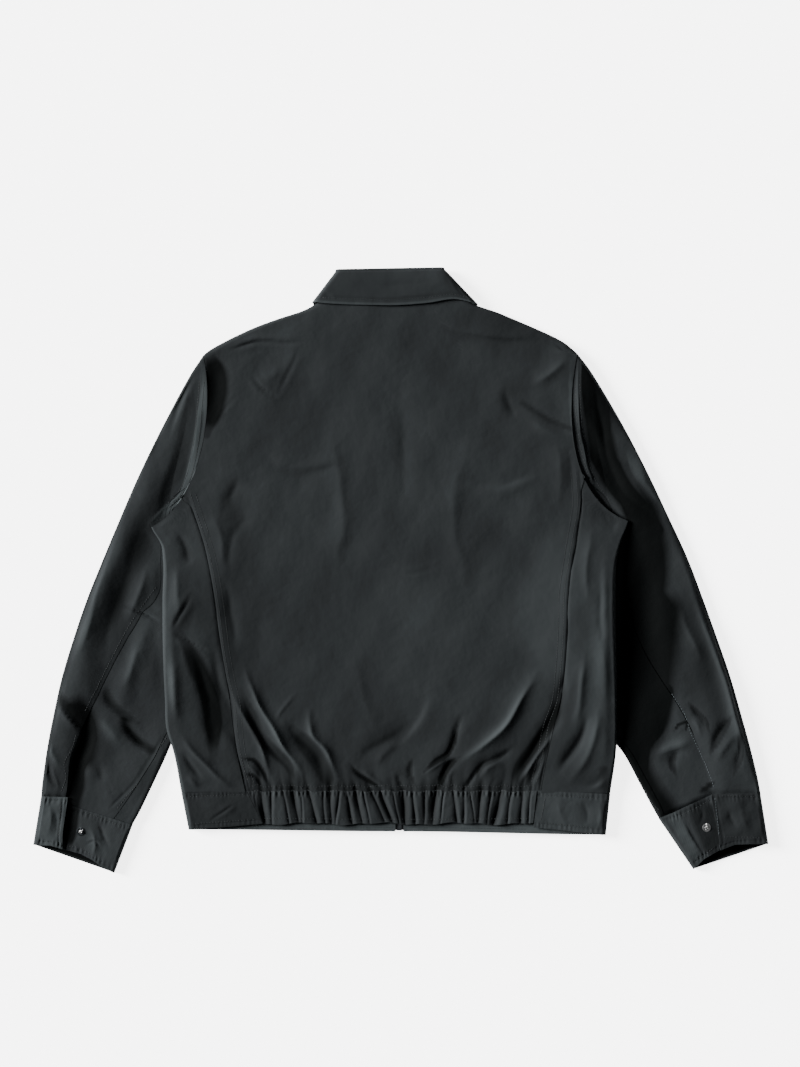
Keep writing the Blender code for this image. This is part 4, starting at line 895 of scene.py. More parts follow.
# sleeves: rows from the shoulder to the cuff, each bent by two points between its folds
sleeveColumns = ("outerX outerY bendX bendY turnX turnY innerX innerY backSeam inseam lap "
                 "outerHeight innerHeight")
sleeveRows = {
    "left": table(
        sleeveColumns,
        (-247.5, 268, -235.2, 222.1, -241.4, 129.7, -281.3, 79.2, 0.84, 0.93, 0, 12.0, 6.2),
        (-267.5, 237, -256, 178, -300, 100, -286, 70, 0.86, 0.94, 0, 11.0, 6.3),
        (-301, 174, -293, 110, -322, 58, -285, 44, 0.86, 0.94, 0, 10.0, 6.5),
        (-330, 114, -331, 62, -318, 14, -270, 0, 0.74, 0.94, 0, 9.0, 7.1),
        (-356, 54, -345, -7, -295, -48, -235, -73, 0.57, 0.94, 0, 8.4, 7.1),
        (-376, 6, -345, -44, -289, -88, -236, -107, 0.43, 0.94, 0, 8.0, 7.1),
        (-394, -39, -351, -82, -295, -119, -245, -142, 0.37, 0.94, 0, 8.0, 7.1),
        (-410, -86, -360, -117, -311, -147, -261, -178, 0.336, 0.94, 0, 8.0, 7.1),
        (-425, -136, -377, -159, -329, -183, -282, -207, 0.316, 0.935, 0, 8.2, 7.2),
        (-436, -186, -390, -204, -343, -222, -297.5, -241, 0.26, 0.92, 0, 9.6, 7.6),
        (-443.5, -226, -400, -242, -357, -259, -313.5, -275, 0.225, 0.88, 5, 10.4, 8.2),
        (-449, -266, -408, -278, -367, -290, -326, -301, 0.255, 0.83, 7, 11.0, 8.2),
        (-450.5, -283, -412, -294, -374, -307, -336, -319, 0.26, 0.80, 8, 11.2, 8.2)),
    "right": table(
        sleeveColumns,
        (221, 270, 211.2, 227.4, 203.8, 134.8, 247.8, 85.3, 0.84, 0.93, 0, 12.0, 6.2),
        (241, 243, 226, 178, 270, 104, 253.5, 73, 0.86, 0.94, 0, 11.0, 6.3),
        (276, 184, 266, 113, 294, 60, 255, 46, 0.86, 0.94, 0, 10.0, 6.5),
        (307.5, 124, 307, 65, 291, 14, 241, 1, 0.76, 0.94, 0, 9.0, 7.1),
        (335, 66, 324, -1, 274, -48, 210, -78, 0.62, 0.95, 0, 8.4, 7.1),
        (359, 14, 329, -38, 271, -88, 211, -113, 0.54, 0.95, 0, 8.0, 7.1),
        (378, -36, 334, -78, 276, -123, 220, -150.5, 0.5, 0.95, 0, 8.0, 7.1),
        (396, -86, 343, -119, 289, -152, 236, -185.5, 0.46, 0.95, 0, 8.0, 7.1),
        (412.5, -134, 361, -158, 310, -182, 258, -207, 0.44, 0.95, 0, 8.2, 7.2),
        (426, -181, 377, -197, 328, -214, 279, -231, 0.42, 0.945, 0, 9.6, 7.6),
        (437.5, -223, 391, -238, 345, -253, 299, -268, 0.42, 0.935, 5, 10.4, 8.2),
        (446, -258, 402, -271, 358, -283, 314, -296, 0.434, 0.93, 7, 11.0, 8.2),
        (450, -279, 407.5, -290, 365, -300, 322.5, -311, 0.46, 0.94, 8, 11.2, 8.2)),
}
# the last entry paints shade on the left sleeve's outer fold
sleeveFit = {"sewn": 0.82, "rows": 210, "crowd": 1.3, "lapRows": (8.0, 9.0), "crown": 2.6, "lap": 1.4,
             "seamGap": 0.9, "deepest": -4.2, "sunk": 2.6,
             "slope": {"left": (0.05, 0.95), "right": (0.3, 0.6)}, "paintedShadeRim": {"left": -0.3, "right": 0.0}}
sleeveFolds = {
    "left": [
        ("crease", 2.0, 4.0, [(120, 604), (145, 615), (163, 625)]),
        ("trough", 2.8, 6.0, [(104, 684), (110, 702), (121, 713), (137, 723)]),
        ("trough", 4.2, 4.6, [(123, 721), (129, 731), (137, 740), (150, 750)]),
        ("ridge", 2.4, 10.0, [(92, 714), (112, 732), (126, 752)]),
        ("trough", 1.6, 5.0, [(94, 762), (98, 771), (100, 783)]),
        ("trough", 2.0, 15.0, [(148, 500), (134, 550), (118, 600), (102, 660), (94, 700)]),
        ("soft", 1.0, 12.0, [(172, 420), (152, 470), (130, 530)]),
        ("soft", 1.6, 6.0, [(206, 364), (208, 384), (206.5, 406), (203, 440), (198, 466), (192, 484),
                            (184, 499)]),
        ("ridge", 2.2, 8.0, [(110, 560), (92, 610), (76, 670)]),
        ("ridge", 2.4, 8.0, [(150, 560), (136, 596), (128, 628)]),
        ("soft", -3.6, 9.0, [(84, 706), (89, 728), (86, 744), (80, 758), (78, 772), (77, 788), (72, 806)]),
        ("ridge", 1.8, 7.0, [(140, 640), (130, 672), (120, 690)]),
        ("step", 1.4, 6.0, [(200, 372), (182, 400), (170, 440)]),
        ("step", 2.0, 4.6, [(81, 733), (74, 723), (66, 713), (58, 702)]),
        ("ridge", 2.4, 4.2, [(47, 736), (52, 752), (58, 763), (66, 773)]),
        ("trough", 2.2, 4.0, [(45, 757), (50, 773), (57, 791)]),
        ("ridge", 1.5, 3.2, [(52, 767), (57, 780), (61, 792)]),
        ("crease", 1.2, 3.0, [(106, 784), (112, 793), (122, 798)]),
        ("strip", 0.5, 8.0, [(204.5, 366), (203.5, 390), (200, 420), (197, 445), (192, 466), (187, 484),
                             (182, 496),
                             (165, 510), (151, 525)]),
        ("seam", 0.7, 1.4, [(174, 720), (164, 736), (151, 757), (136, 781), (112, 806)]),
        ("soft", 2.6, 15.0, [(146, 478), (134, 505), (120, 540), (106, 574), (94, 610),
                             (82, 648), (71, 690), (60, 728)]),
        ("soft", -2.0, 16.0, [(164, 470), (154, 505), (144, 540), (126, 586), (108, 632), (92, 676)]),
        ("soft", 2.2, 11.0, [(158, 602), (140, 646), (124, 690), (112, 722)]),
    ],
    "right": [
        ("ridge", 2.6, 6.0, [(684, 572), (699, 607), (717, 655), (731, 700), (741, 745), (751, 790)]),
        ("ridge", 2.0, 10.0, [(634, 458), (643, 477), (653, 492), (668, 512)]),
        ("soft", 1.2, 5.0, [(578, 356), (579, 400), (581, 430), (585, 452), (589, 470), (596, 486)]),
        ("trough", 3.6, 9.0, [(590, 366), (598, 410), (606, 448), (618, 480), (640, 506), (664, 528)]),
        ("soft", -4.4, 22.0, [(622, 470), (643, 520), (646, 560), (644, 620), (642, 690), (640, 740)]),
        ("ridge", 2.2, 8.0, [(676, 600), (690, 636), (702, 668)]),
        ("ridge", 2.8, 7.0, [(650, 757), (664, 751), (680, 744), (697, 737)]),
        ("trough", 1.8, 4.6, [(690, 756), (676, 753), (672, 764), (676, 774)]),
        ("crease", 1.0, 2.0, [(675, 732), (680, 724), (685, 721)]),
        ("crease", 0.8, 1.8, [(685, 720), (687, 724), (686, 730)]),
        ("trough", 2.4, 3.4, [(689, 703), (697, 712), (705, 720), (709, 731)]),
        ("ridge", 1.4, 4.0, [(692, 716), (699, 724), (702, 736)]),
        ("trough", 3.2, 5.0, [(732, 716), (721, 733), (710, 753)]),
        ("ridge", 2.0, 5.0, [(738, 730), (726, 748), (712, 764)]),
        ("trough", 2.2, 4.0, [(738, 732), (741, 754), (734, 774)]),
        ("soft", 5.0, 13.0, [(668, 520), (692, 566), (708, 607), (728, 666), (742, 729), (750, 770)]),
        ("seam", 0.7, 1.4, [(643, 792), (651, 805), (657, 814)]),
        ("strip", 1.8, 13.0, [(573.5, 354), (573.5, 400), (575.5, 430), (580, 452), (584, 471), (588, 480)]),
    ],
}


def underCuff(side, x, y):
    # how far a point of the sleeve has gone in under the cuff's top edge
    lines = cuffLines[side]
    startX, startY = lines["outerX"][0], lines["outerY"][0]
    runX, runY = lines["innerX"][0] - startX, lines["innerY"][0] - startY
    length = math.hypot(runX, runY)
    part = ((x - startX) * runX + (y - startY) * runY) / length ** 2
    upX, upY = outward[side] * runY / length, -outward[side] * runX / length
    edge = np.where(part < lines["flap"][0], cuffLift(side, "flap", part), cuffLift(side, "under", part))
    return edge - (x - startX) * upX - (y - startY) * upY


def buildSleeve(side):
    rows, sign = sleeveRows[side], outward[side]
    index = np.arange(len(rows["outerX"]), dtype=float)
    steps = np.hypot(np.diff(rows["outerX"]), np.diff(rows["outerY"]))
    run = steps.sum() * np.linspace(0, 1, sleeveFit["rows"]) ** sleeveFit["crowd"]    # closest at the armhole
    at = np.interp(run, np.concatenate([[0], np.cumsum(steps)]), index)
    row = {key: bend(at, index, values)[:, None] for key, values in rows.items()}
    for key in ("backSeam", "inseam", "lap", "outerHeight", "innerHeight"):
        row[key] = np.interp(at, index, rows[key])[:, None]
    corners = [(row[k + "X"], row[k + "Y"]) for k in ("outer", "bend", "turn", "inner")]
    ring = np.minimum(at, 1.0)[:, None]
    swell = smooth(0, 2.0, at)[:, None] * smooth(12.0, 9.0, at)[:, None]

    def sewnHeight(t, layer):
        return np.interp(t * sleeveFit["sewn"], armholeHeights["t"], armholeHeights[layer])

    def top(t):
        height = mix(row["outerHeight"], row["innerHeight"], smooth(*sleeveFit["slope"][side], t))
        return mix(sewnHeight(t, "sleeveTop"), height, ring)

    def bottom(t):
        return sewnHeight(t, "sleeveBottom") * (1 - ring)

    def spot(t, scooped=False):
        x, y = (bezier([c[k] for c in corners], t) for k in (0, 1))
        if scooped:
            x = x - sign * frontScoop * np.sin(math.pi * t * sleeveFit["sewn"]) * (1 - ring)
        lapped = sleeveFit["lap"] * smooth(0.5, 0.62, t * sleeveFit["sewn"]) * (1 - ring) if scooped else 0
        x = x + sign * (0.35 * (ring <= 0) - lapped)
        return x, y

    def turned(end):
        near, far = (0, 1) if end == "outer" else (3, 2)
        t = np.full_like(ring, 0.0 if end == "outer" else 1.0)
        high, low = top(t), bottom(t)
        radius = (high - low) / 2
        dx, dy = corners[far][0] - corners[near][0], corners[far][1] - corners[near][1]
        length = np.hypot(dx, dy)
        angles = np.radians(np.linspace(-80, 80, 9))[None, :]
        reach = radius * (1 - np.cos(angles)) / length
        return (corners[near][0] + dx * reach, corners[near][1] + dy * reach,
                low + radius * (1 + np.sin(angles)), radius / (3 * length))

    outerX, outerY, outerZ, insetOuter = turned("outer")
    innerX, innerY, innerZ, insetInner = turned("inner")

    def softened(t, x, y, z):
        # folds fade where the sleeve slips under the body's side
        hole = curveArray(armhole[side], armT)
        edge = np.where(y < armhole[side][3][1], bend(y, sideLines[side]["y"], sideLines[side]["side"]),
                        np.interp(y, hole[:, 1], hole[:, 0]))
        clear = smooth(0.0, 14.0, (x - edge) * sign)
        clear = np.where(y < sideLines[side]["y"][0], 1.0, clear)
        rise = relief(x, y, sleeveFolds[side]) + waves(x, y, slack["sleeve"])
        across = np.clip(t / np.maximum(row["backSeam"], 0.3), 0, 1)
        hump = sleeveFit["crown"] * np.sin(math.pi * across) * swell
        ends = smooth(0.0, 0.06, t)
        gate = clear * smooth(0, 0.25, at)[:, None] * ends
        sunk = sleeveFit["sunk"] * smooth(-3.2, 0.4, underCuff(side, x, y))
        folds = np.maximum((rise + hump) * gate * smooth(sleeveFit["sunk"], 0.6, sunk), sleeveFit["deepest"])
        return z + folds - sunk * ends, rise * gate

    upperPart = np.linspace(1, 0, 40)[None, :]
    t = mix(insetOuter, row["backSeam"], upperPart)
    topX, topY = spot(t)
    topZ, rise = softened(t, topX, topY, top(t))
    lowT = mix(insetOuter, 1 - insetInner, np.linspace(0, 1, 26)[None, :])
    lowX, lowY = spot(lowT, scooped=True)
    stripT = mix(1 - insetInner, row["inseam"], np.linspace(0, 1, 7)[None, 1:])
    stripX, stripY = spot(stripT)
    stripZ = softened(stripT, stripX, stripY, top(stripT))[0]
    x = np.concatenate([topX, outerX[:, ::-1], lowX, innerX, stripX], axis=1)
    y = np.concatenate([topY, outerY[:, ::-1], lowY, innerY, stripY], axis=1)
    z = np.concatenate([topZ, outerZ[:, ::-1], bottom(lowT), innerZ, stripZ], axis=1)
    tuckedEnd = (np.arange(sleeveFit["rows"]) == sleeveFit["rows"] - 1)[:, None]
    z = tucked(z, tuckedEnd, 2.0)
    for line in (x, y):
        line[-1] += (line[-1] - line[-2]) * 0.8
    # painted light and shade: the listed marks and the folds, and painted shade on the left sleeve's outer
    # fold
    paintedLight = relief(x, y, fades[side])
    paintedLight[:, :topX.shape[1]] += paintedLightFromRelief(rise)
    paintedLight[:, topX.shape[1]:topX.shape[1] + 9] = sleeveFit["paintedShadeRim"][side]
    upper = sheetMesh("sleeve_upper_cloth_" + side, x, y, np.maximum(z, 0), bodyFit["wall"],
                      flip=side == "right", paintedLight=paintedLight)

    gap = sleeveFit["seamGap"] / (3 * np.hypot(corners[3][0] - corners[2][0], corners[3][1] - corners[2][1]))
    lap = row["lap"] / (3 * np.hypot(corners[1][0] - corners[0][0], corners[1][1] - corners[0][1]))
    underT = mix(row["backSeam"] + gap - lap, row["inseam"] - gap, np.linspace(0, 1, 46)[None, :])
    x, y = spot(underT)
    z = mix(top(underT), row["innerHeight"], smooth(*sleeveFit["lapRows"], at)[:, None])
    z, rise = softened(underT, x, y, z)
    for line in (x, y):
        line[-1] += (line[-1] - line[-2]) * 0.8
    # painted light and shade on the under-sleeve from its folds and the listed marks
    under = sheetMesh("sleeve_under_cloth_" + side, x, y, z, bodyFit["wall"], flip=side == "left",
                      paintedLight=paintedLightFromRelief(rise) + relief(x, y, fades[side]))
    return standFor(upper, "sleeve_upper_" + side, "panel"), standFor(under, "sleeve_under_" + side, "panel")


# cuffs: a doubled band whose flap laps over its other end
cuffFit = {"rows": 44, "flapColumns": 40, "underColumns": 70, "bottomColumns": 28, "wall": 1.8, "stitch": 5.0,
           "groove": 0.45, "grooveWidth": 1.1, "pucker": 0.5, "lowest": 5.0, "swell": 0.9}
cuffLines = {
    "left": table("outerX outerY innerX innerY flap under", (-450.5, -283.6, -336.0, -319.6, 0.27, 0.17),
                  (-460.5, -344.5, -359.0, -380.0, 0.34, 0.22)),
    "right": table("outerX outerY innerX innerY flap under", (450.0, -279.6, 322.5, -311.6, 0.46, 0.38),
                   (460.0, -343.5, 366.0, -375.5, 0.60, 0.52)),
}
# how far the top seam rises above a straight line
cuffLifts = {
    "left": {"flap": ((0.0, 0.27), (0.0, 9.0)), "under": ((0.0, 1.0), (0.0, 0.0))},
    "right": {"flap": ((0.0, 0.46), (0.0, 14.0)), "under": ((0.38, 0.46, 0.84, 1.0), (12.5, 12.5, 3.0, 0.0))},
}
# how far the top layer's hem falls short of the lower one's
cuffSags = {
    "left": ((0.0, 0.2, 0.35, 0.55, 0.7, 0.84, 1.0), (0.0, 6.5, 7.2, 8.8, 6.6, 2.2, 0.0)),
    "right": ((0.0, 0.12, 0.25, 0.41, 0.63, 0.83, 1.0), (0.0, 4.0, 8.5, 13.0, 12.0, 8.0, 0.0)),
}
cuffHeights = {"flap": 11.2, "under": 8.2}
cuffFolds = {
    "left": [("ridge", 1.0, 6.0, [(46, 800), (50, 820), (46, 840)]),
             ("trough", 0.8, 5.0, [(52, 804), (56, 822), (54, 842)]),
             ("soft", -2.0, 8.0, [(73, 800), (71, 820), (69, 842)]),
             ("trough", 1.6, 3.6, [(99, 822), (104, 838), (112, 850)]),
             ("ridge", 1.3, 4.0, [(90, 826), (95, 846), (92, 860)]),
             ("crease", 1.0, 2.6, [(84, 846), (94, 842), (102, 850)])],
    "right": [("ridge", 1.0, 7.0, [(738, 796), (742, 815), (748, 838)]),
              ("trough", 1.4, 4.6, [(726, 806), (730, 818), (738, 832)]),
              ("trough", 0.8, 5.0, [(755, 790), (757, 803), (764, 814)]),
              ("step", 0.9, 5.0, [(707, 861), (699, 846), (691, 832), (680, 813)]),
              ("trough", 1.2, 3.0, [(700, 804), (703, 816), (700, 826)])],
}


def cuffLift(side, layer, part):
    return np.interp(part, *cuffLifts[side][layer])


def buildCuff(side):
    lines, sign = cuffLines[side], outward[side]
    along = np.linspace(0, 1, cuffFit["rows"])[:, None]
    row = {key: mix(values[0], values[1], along) for key, values in lines.items()}
    dx, dy = row["innerX"] - row["outerX"], row["innerY"] - row["outerY"]
    width = np.hypot(dx, dy)
    upX, upY = sign * dy / width, -sign * dx / width
    radius = {"outer": cuffHeights["flap"] / 2, "inner": cuffHeights["under"] / 2}

    def spot(part, layer):
        up = np.zeros_like(part * along)
        if layer != "bottom":
            up = (np.interp(part, *cuffSags[side]) * smooth(0.35, 1.0, along) ** 2
                  + cuffLift(side, layer, part) * (1 - smooth(0.0, 0.6, along)))
        return row["outerX"] + dx * part + upX * up, row["outerY"] + dy * part + upY * up

    angles = np.radians(np.linspace(80, -80, 9))[None, :]
    shares = {
        "flap": mix(row["flap"], radius["outer"] / width, np.linspace(0, 1, cuffFit["flapColumns"])[None, :]),
        "under": mix(1 - radius["inner"] / width, row["under"],
                     np.linspace(0, 1, cuffFit["underColumns"])[None, :]),
        "bottom": mix(radius["outer"] / width, 1 - radius["inner"] / width,
                      np.linspace(0, 1, cuffFit["bottomColumns"])[None, :]),
    }
    turned = {"outer": radius["outer"] * (1 - np.cos(angles)) / width,
              "inner": (1 - radius["inner"] * (1 - np.cos(angles)) / width)[:, ::-1]}
    parts = {key: (*spot(share, key), np.full_like(share, cuffHeights.get(key, 0.0)))
             for key, share in shares.items()}
    for key, layer in (("outer", "flap"), ("inner", "under")):
        bulge = radius[key] * (1 + np.sin(angles if key == "outer" else angles[:, ::-1]))
        x, y = spot(turned[key], layer)
        straightX, straightY = spot(turned[key], "bottom")
        upper = smooth(0.0, 2 * radius[key], bulge)
        parts[key] = (mix(straightX, x, upper), mix(straightY, y, upper), bulge * np.ones_like(along))
    length = np.hypot(lines["outerX"][1] - lines["outerX"][0], lines["outerY"][1] - lines["outerY"][0])
    edge = np.minimum(along, 1 - along) * length

    def sewnLine(away):
        # cloth is drawn in along a row of stitches
        return -cuffFit["groove"] * np.exp(-((away - cuffFit["stitch"]) / cuffFit["grooveWidth"]) ** 2)

    paintedLights = {key: np.zeros_like(value[2]) for key, value in parts.items()}
    for key in ("flap", "under"):
        x, y, z = parts[key]
        ends = np.abs(row[key] - shares[key]) * width
        rise = relief(x, y, cuffFolds[side]) * smooth(0, 6, edge) + sewnLine(edge)
        rise = rise + sewnLine(ends) * smooth(0, 6, edge)
        run = shares[key] * width
        beat = np.sin(run / 0.85 + 1.6 * np.sin(run / 6.0)) * (0.6 + 0.4 * np.sin(run / 4.1))
        rise += cuffFit["pucker"] * beat * np.exp(-((edge - cuffFit["stitch"]) / 3.4) ** 2)
        swell = cuffFit["swell"] * np.sin(math.pi * along) + waves(x, y, slack["cuff"])
        swell = swell if key == "flap" else 0.5 * swell
        parts[key] = (x, y, np.maximum(z + rise + swell, cuffFit["lowest"]))
        # painted light and shade from the folds and for each layer; the stitched edges are a little lighter
        paintedLights[key] = paintedLightFromRelief(rise * 1.6) + cuffPaintedLight(side, key, x, y) + 0.12 * np.exp(-(edge / 1.6) ** 2)
    # a painted highlight on the outer fold, and painted shade on the lower layer inside the cuff's mouth
    paintedLights["outer"] += 0.1
    hem = (1 - along) * length
    paintedLights["bottom"] -= smooth(26.0, 20.0, hem) * smooth(1.0, 3.0, hem)
    order = ("flap", "outer", "bottom", "inner", "under")
    x, y, z = (np.concatenate([parts[key][k] for key in order], axis=1) for k in range(3))
    paintedLight = np.concatenate([paintedLights[key] for key in order], axis=1)
    piece = sheetMesh("cuff_cloth_" + side, x, y, z, cuffFit["wall"], flip=side == "right", paintedLight=paintedLight)
    return standFor(piece, "cuff_" + side, "band")


def cuffPaintedLight(side, layer, x, y):
    # painted light and shade: a painted highlight on the left flap and painted shade on the right one; on the
    # under-lap, painted shade where the flap's shadow falls and a painted highlight on the folded side
    if layer == "flap":
        return np.full_like(x, 0.5 if side == "left" else -0.25)
    if side == "left":
        return relief(x, y, [("patch", -1.0, 9.4, [(73, 790), (71, 817), (67, 850)]),
                             ("patch", 0.2, 12.0, [(92, 826), (96, 850), (100, 866)])])
    return relief(x, y, [("patch", -0.62, 15.0, [(698, 794), (703, 814), (712, 838), (722, 862)]),
                         ("patch", 0.4, 8.5, [(668, 808), (683, 832), (700, 866)])])


# waistband: gathered on elastic at the back, plain at the sides
# the band's painted light and shade: the side fold and the turned-up hem painted lighter where the elastic's
# shadow falls, the left band darker and the right lighter
bandFit = {"wall": 1.8, "height": 11.5, "hem": -328.0, "elasticHem": -318.0, "gap": 0.7, "deep": 46.0,
           "rows": 34, "columns": 480, "sideColumns": 72, "lowColumns": 44, "pinch": 1.1, "turnUp": 4.6,
           "stitch": 5.0, "groove": 0.5, "grooveWidth": 1.1, "elasticLowest": 6.0, "lowest": 4.4,
           "foldHighlight": 0.15, "hemPaintedLight": 0.7, "fade": {"left": -0.28, "right": 0.18}}
elasticEnds = {"left": (-193.0, -173.0), "right": (170.0, 165.5)}
bandLines = {
    "left": {"side": (-275.0, -266.0), "ySide": (-279.6, -325.5), "yElastic": (-276.6, -318.0),
             "height": (11.5, 10.5)},
    "right": {"side": (262.0, 256.5), "ySide": (-280.6, -332.0), "yElastic": (-276.6, -322.5),
              "height": (11.5, 10.5)},
}


def buildElastic():
    along = np.linspace(0, 1, bandFit["rows"])[:, None]
    part = np.linspace(0, 1, bandFit["columns"])[None, :]
    left = mix(elasticEnds["left"][0], elasticEnds["left"][1], along) + bandFit["gap"] / 2
    right = mix(elasticEnds["right"][0], elasticEnds["right"][1], along) - bandFit["gap"] / 2
    x = mix(left, right, part)
    y = mix(waistY - bandFit["gap"], bandFit["elasticHem"], along) * np.ones_like(part)
    y = y - 1.2 * np.sin(x / 15.0) * along - 0.8 * np.sin(x / 6.1 + 1) * along + seamWander(x, waistY - y)
    ends = smooth(0.0, 0.02, part) * smooth(0.0, 0.02, 1.0 - part)
    flat = smooth(-0.04, 0.1, along) * smooth(1.02, 0.93, along)
    rise = -pleatDepth(x, y, pleatFit["depth"]) * ends * mix(0.45, 1.0, flat)
    rise = rise + shirring(x, (waistY - y) - 4.0) * ends
    body = bandFit["pinch"] * (np.sin(math.pi * np.clip(along, 0, 1)) ** 0.6 - 0.4)
    z = np.maximum(bandFit["height"] - along + body + rise + 0.8, bandFit["elasticLowest"])
    # painted light and shade: a little lighter overall, the listed marks, and painted shade in the valleys of
    # the gathers
    paintedLight = 0.15 + 0.5 * relief(x, y, fades["body"]) - pleatDepth(x, y, pleatFit["paintedLight"]) * mix(0.6, 1.0, flat)
    piece = sheetMesh("waistband_cloth_back", x, y, z, bandFit["wall"], flip=True, paintedLight=paintedLight)
    return standFor(piece, "waistband_back", "band")


def buildBand(side):
    lines, sign = bandLines[side], outward[side]
    along = np.linspace(0, 1, bandFit["rows"])[:, None]
    row = {key: mix(ends[0], ends[1], along) for key, ends in lines.items()}
    radius = row["height"] / 2
    start = mix(*elasticEnds[side], along) + sign * bandFit["gap"] / 2
    foldX = row["side"] - sign * radius
    topPart = np.linspace(0, 1, bandFit["sideColumns"])[None, :]
    topX, topY = mix(start, foldX, topPart), mix(row["yElastic"], row["ySide"], topPart)
    topZ = mix(bandFit["height"] - along, row["height"], topPart)
    edge = np.minimum(along, 1 - along) * bandFit["deep"]
    groove = -bandFit["groove"] * np.exp(-((edge - bandFit["stitch"]) / bandFit["grooveWidth"]) ** 2)
    rise = relief(topX, topY, bandFolds) * smooth(0, 7, edge) + groove
    rise += 0.4 * shirring(topX, edge - 4.0)
    swell = 0.8 * np.sin(math.pi * along)
    topZ = np.maximum(topZ + rise + swell + waves(topX, topY, slack["band"]), bandFit["lowest"])
    angles = np.radians(np.linspace(80, -80, 9))[None, :]
    roundX = row["side"] - sign * radius * (1 - np.cos(angles))
    roundY = row["ySide"] * np.ones_like(angles)
    roundZ = radius * (1 + np.sin(angles))
    lowPart = np.linspace(0, 1, bandFit["lowColumns"])[None, :]
    lowX = mix(foldX, zipX + sign * zipHalfGap, lowPart)
    zipY = mix(waistY - bandFit["gap"], bandFit["hem"], along)
    lowY = mix(zipY, row["ySide"], smooth(0.0, 1.0, lowX / row["side"]))
    x, y, z = (np.concatenate(parts, axis=1) for parts in
               ((topX, roundX, lowX), (topY, roundY, lowY), (topZ, roundZ, np.zeros_like(lowX))))
    strip = smooth(bandFit["elasticHem"] + 3.0, bandFit["elasticHem"], lowY)    # the turned-up hem that shows
    z[:, -lowX.shape[1]:] += bandFit["turnUp"] * strip
    # painted light and shade: folds, the listed marks and a darker left and lighter right band; the side fold
    # and the hem strip are painted lighter
    topPaintedLight = paintedLightFromRelief(rise) + bandFit["fade"][side] + relief(topX, topY, fades["body"])
    roundPaintedLight = np.full_like(roundX, bandFit["foldHighlight"])
    paintedLight = np.concatenate([topPaintedLight, roundPaintedLight, bandFit["hemPaintedLight"] * strip], axis=1)
    piece = sheetMesh("waistband_cloth_" + side, x, y, z, bandFit["wall"], flip=side == "right", paintedLight=paintedLight)
    return standFor(piece, "waistband_" + side, "band")


bandFolds = [
    ("ridge", 1.0, 8.0, [(196, 798), (216, 806), (238, 812)]),
    ("crease", 0.9, 3.5, [(205, 822), (222, 812), (236, 802)]),
    ("trough", 1.2, 7.0, [(584, 798), (588, 814), (584, 828)]),
    ("ridge", 1.2, 6.0, [(600, 800), (602, 815), (598, 832)]),
    ("ridge", 0.9, 7.0, [(556, 796), (560, 812), (566, 828)]),
]

# collar: both parts are loops that start and end at the zip
collarFit = {"wall": 1.4, "standHeights": (11.3, 4.2, 3.5), "fronts": 24, "back": 92, "rows": 44,
             "standRows": 10, "inset": 1.4, "swell": 1.6, "rimPaintedLight": 0.5}
fallLines = table("line sidePart top low radius", (0, 0.42, 9.9, 5.6, 2.2), (1, 0.75, 10.5, 5.0, 2.8),
                  (2, 1.0, 12.05, 2.8, 4.6), (3, 1.03, 13.6, 0.6, 5.6), (4, 1.1, 14.2, 0.0, 6.2),
                  (5, 1.5, 14.2, 0.0, 6.4), (6, 2.0, 13.6, 0.0, 6.4))
fallEdge = table("x y", (-111, 334.4), (-89, 332.5), (-36, 330.6), (-1, 330.6), (36, 333.7), (67, 338),
                 (96, 332))
collarCurves = {
    "standTop": {"left": (-82.0, 368.8), "right": (54.5, 370.4), "drop": 56.0},
    "fold": {"left": (-80.0, 375.6), "right": (52.5, 378.0), "drop": 56.0},
    "edge": {"left": (-111.3, 334.4), "right": (96.3, 332.0)},
}
collarPoints = {"left": (-62.0, 254.0), "right": (58.0, 254.0)}
collarFolds = [
    ("ridge", 1.0, 9.0, [(322, 290), (362, 295), (410, 296), (452, 292)]),
    ("trough", 0.8, 8.0, [(330, 279), (372, 283), (414, 284), (446, 280)]),
    ("crease", 0.8, 3.5, [(318, 286), (328, 296), (334, 302)]),
    ("crease", 0.6, 3.0, [(452, 276), (456, 287), (464, 297)]),
    ("seam", 0.5, 1.4, [(308, 296), (330, 298), (372, 299.5), (400, 299.5), (430, 297), (452, 294),
                        (470, 297)]),
]
# painted shade at the collar's top right corner
collarPaintedShade = [("soft", -0.6, 9.0, [(440, 266), (452, 276), (464, 288), (478, 304)])]


def frontLine(name, side, part):
    # the run of a collar line over the chest, from the zip (0) to the side of the neck (1)
    if name == "neck":
        return neckCurve(side, part, inset=collarFit["inset"])
    corner = np.array(collarCurves[name][side])
    part = np.atleast_1d(part)[:, None]
    if name == "edge":
        return mix(np.array(collarPoints[side]), corner, part)
    across = abs(corner[0] - zipX)
    angle = mix(math.asin(zipHalfGap / neck[side]), math.pi / 2, part)
    return np.concatenate([zipX + outward[side] * across * np.sin(angle),
                           corner[1] - collarCurves[name]["drop"] * np.cos(angle)], axis=1)


def collarCorner(name, side):
    if name == "neck":
        return neckCurve(side, 1.0, inset=collarFit["inset"]) + np.array([0, 0.8])
    return np.array(collarCurves[name][side])


def backLine(name, part):
    left, right = collarCorner(name, "left"), collarCorner(name, "right")
    line = mix(left, right, np.atleast_1d(part)[:, None])
    if name == "edge":
        line[:, 1] = bend(line[:, 0], fallEdge["x"], fallEdge["y"])
    return line


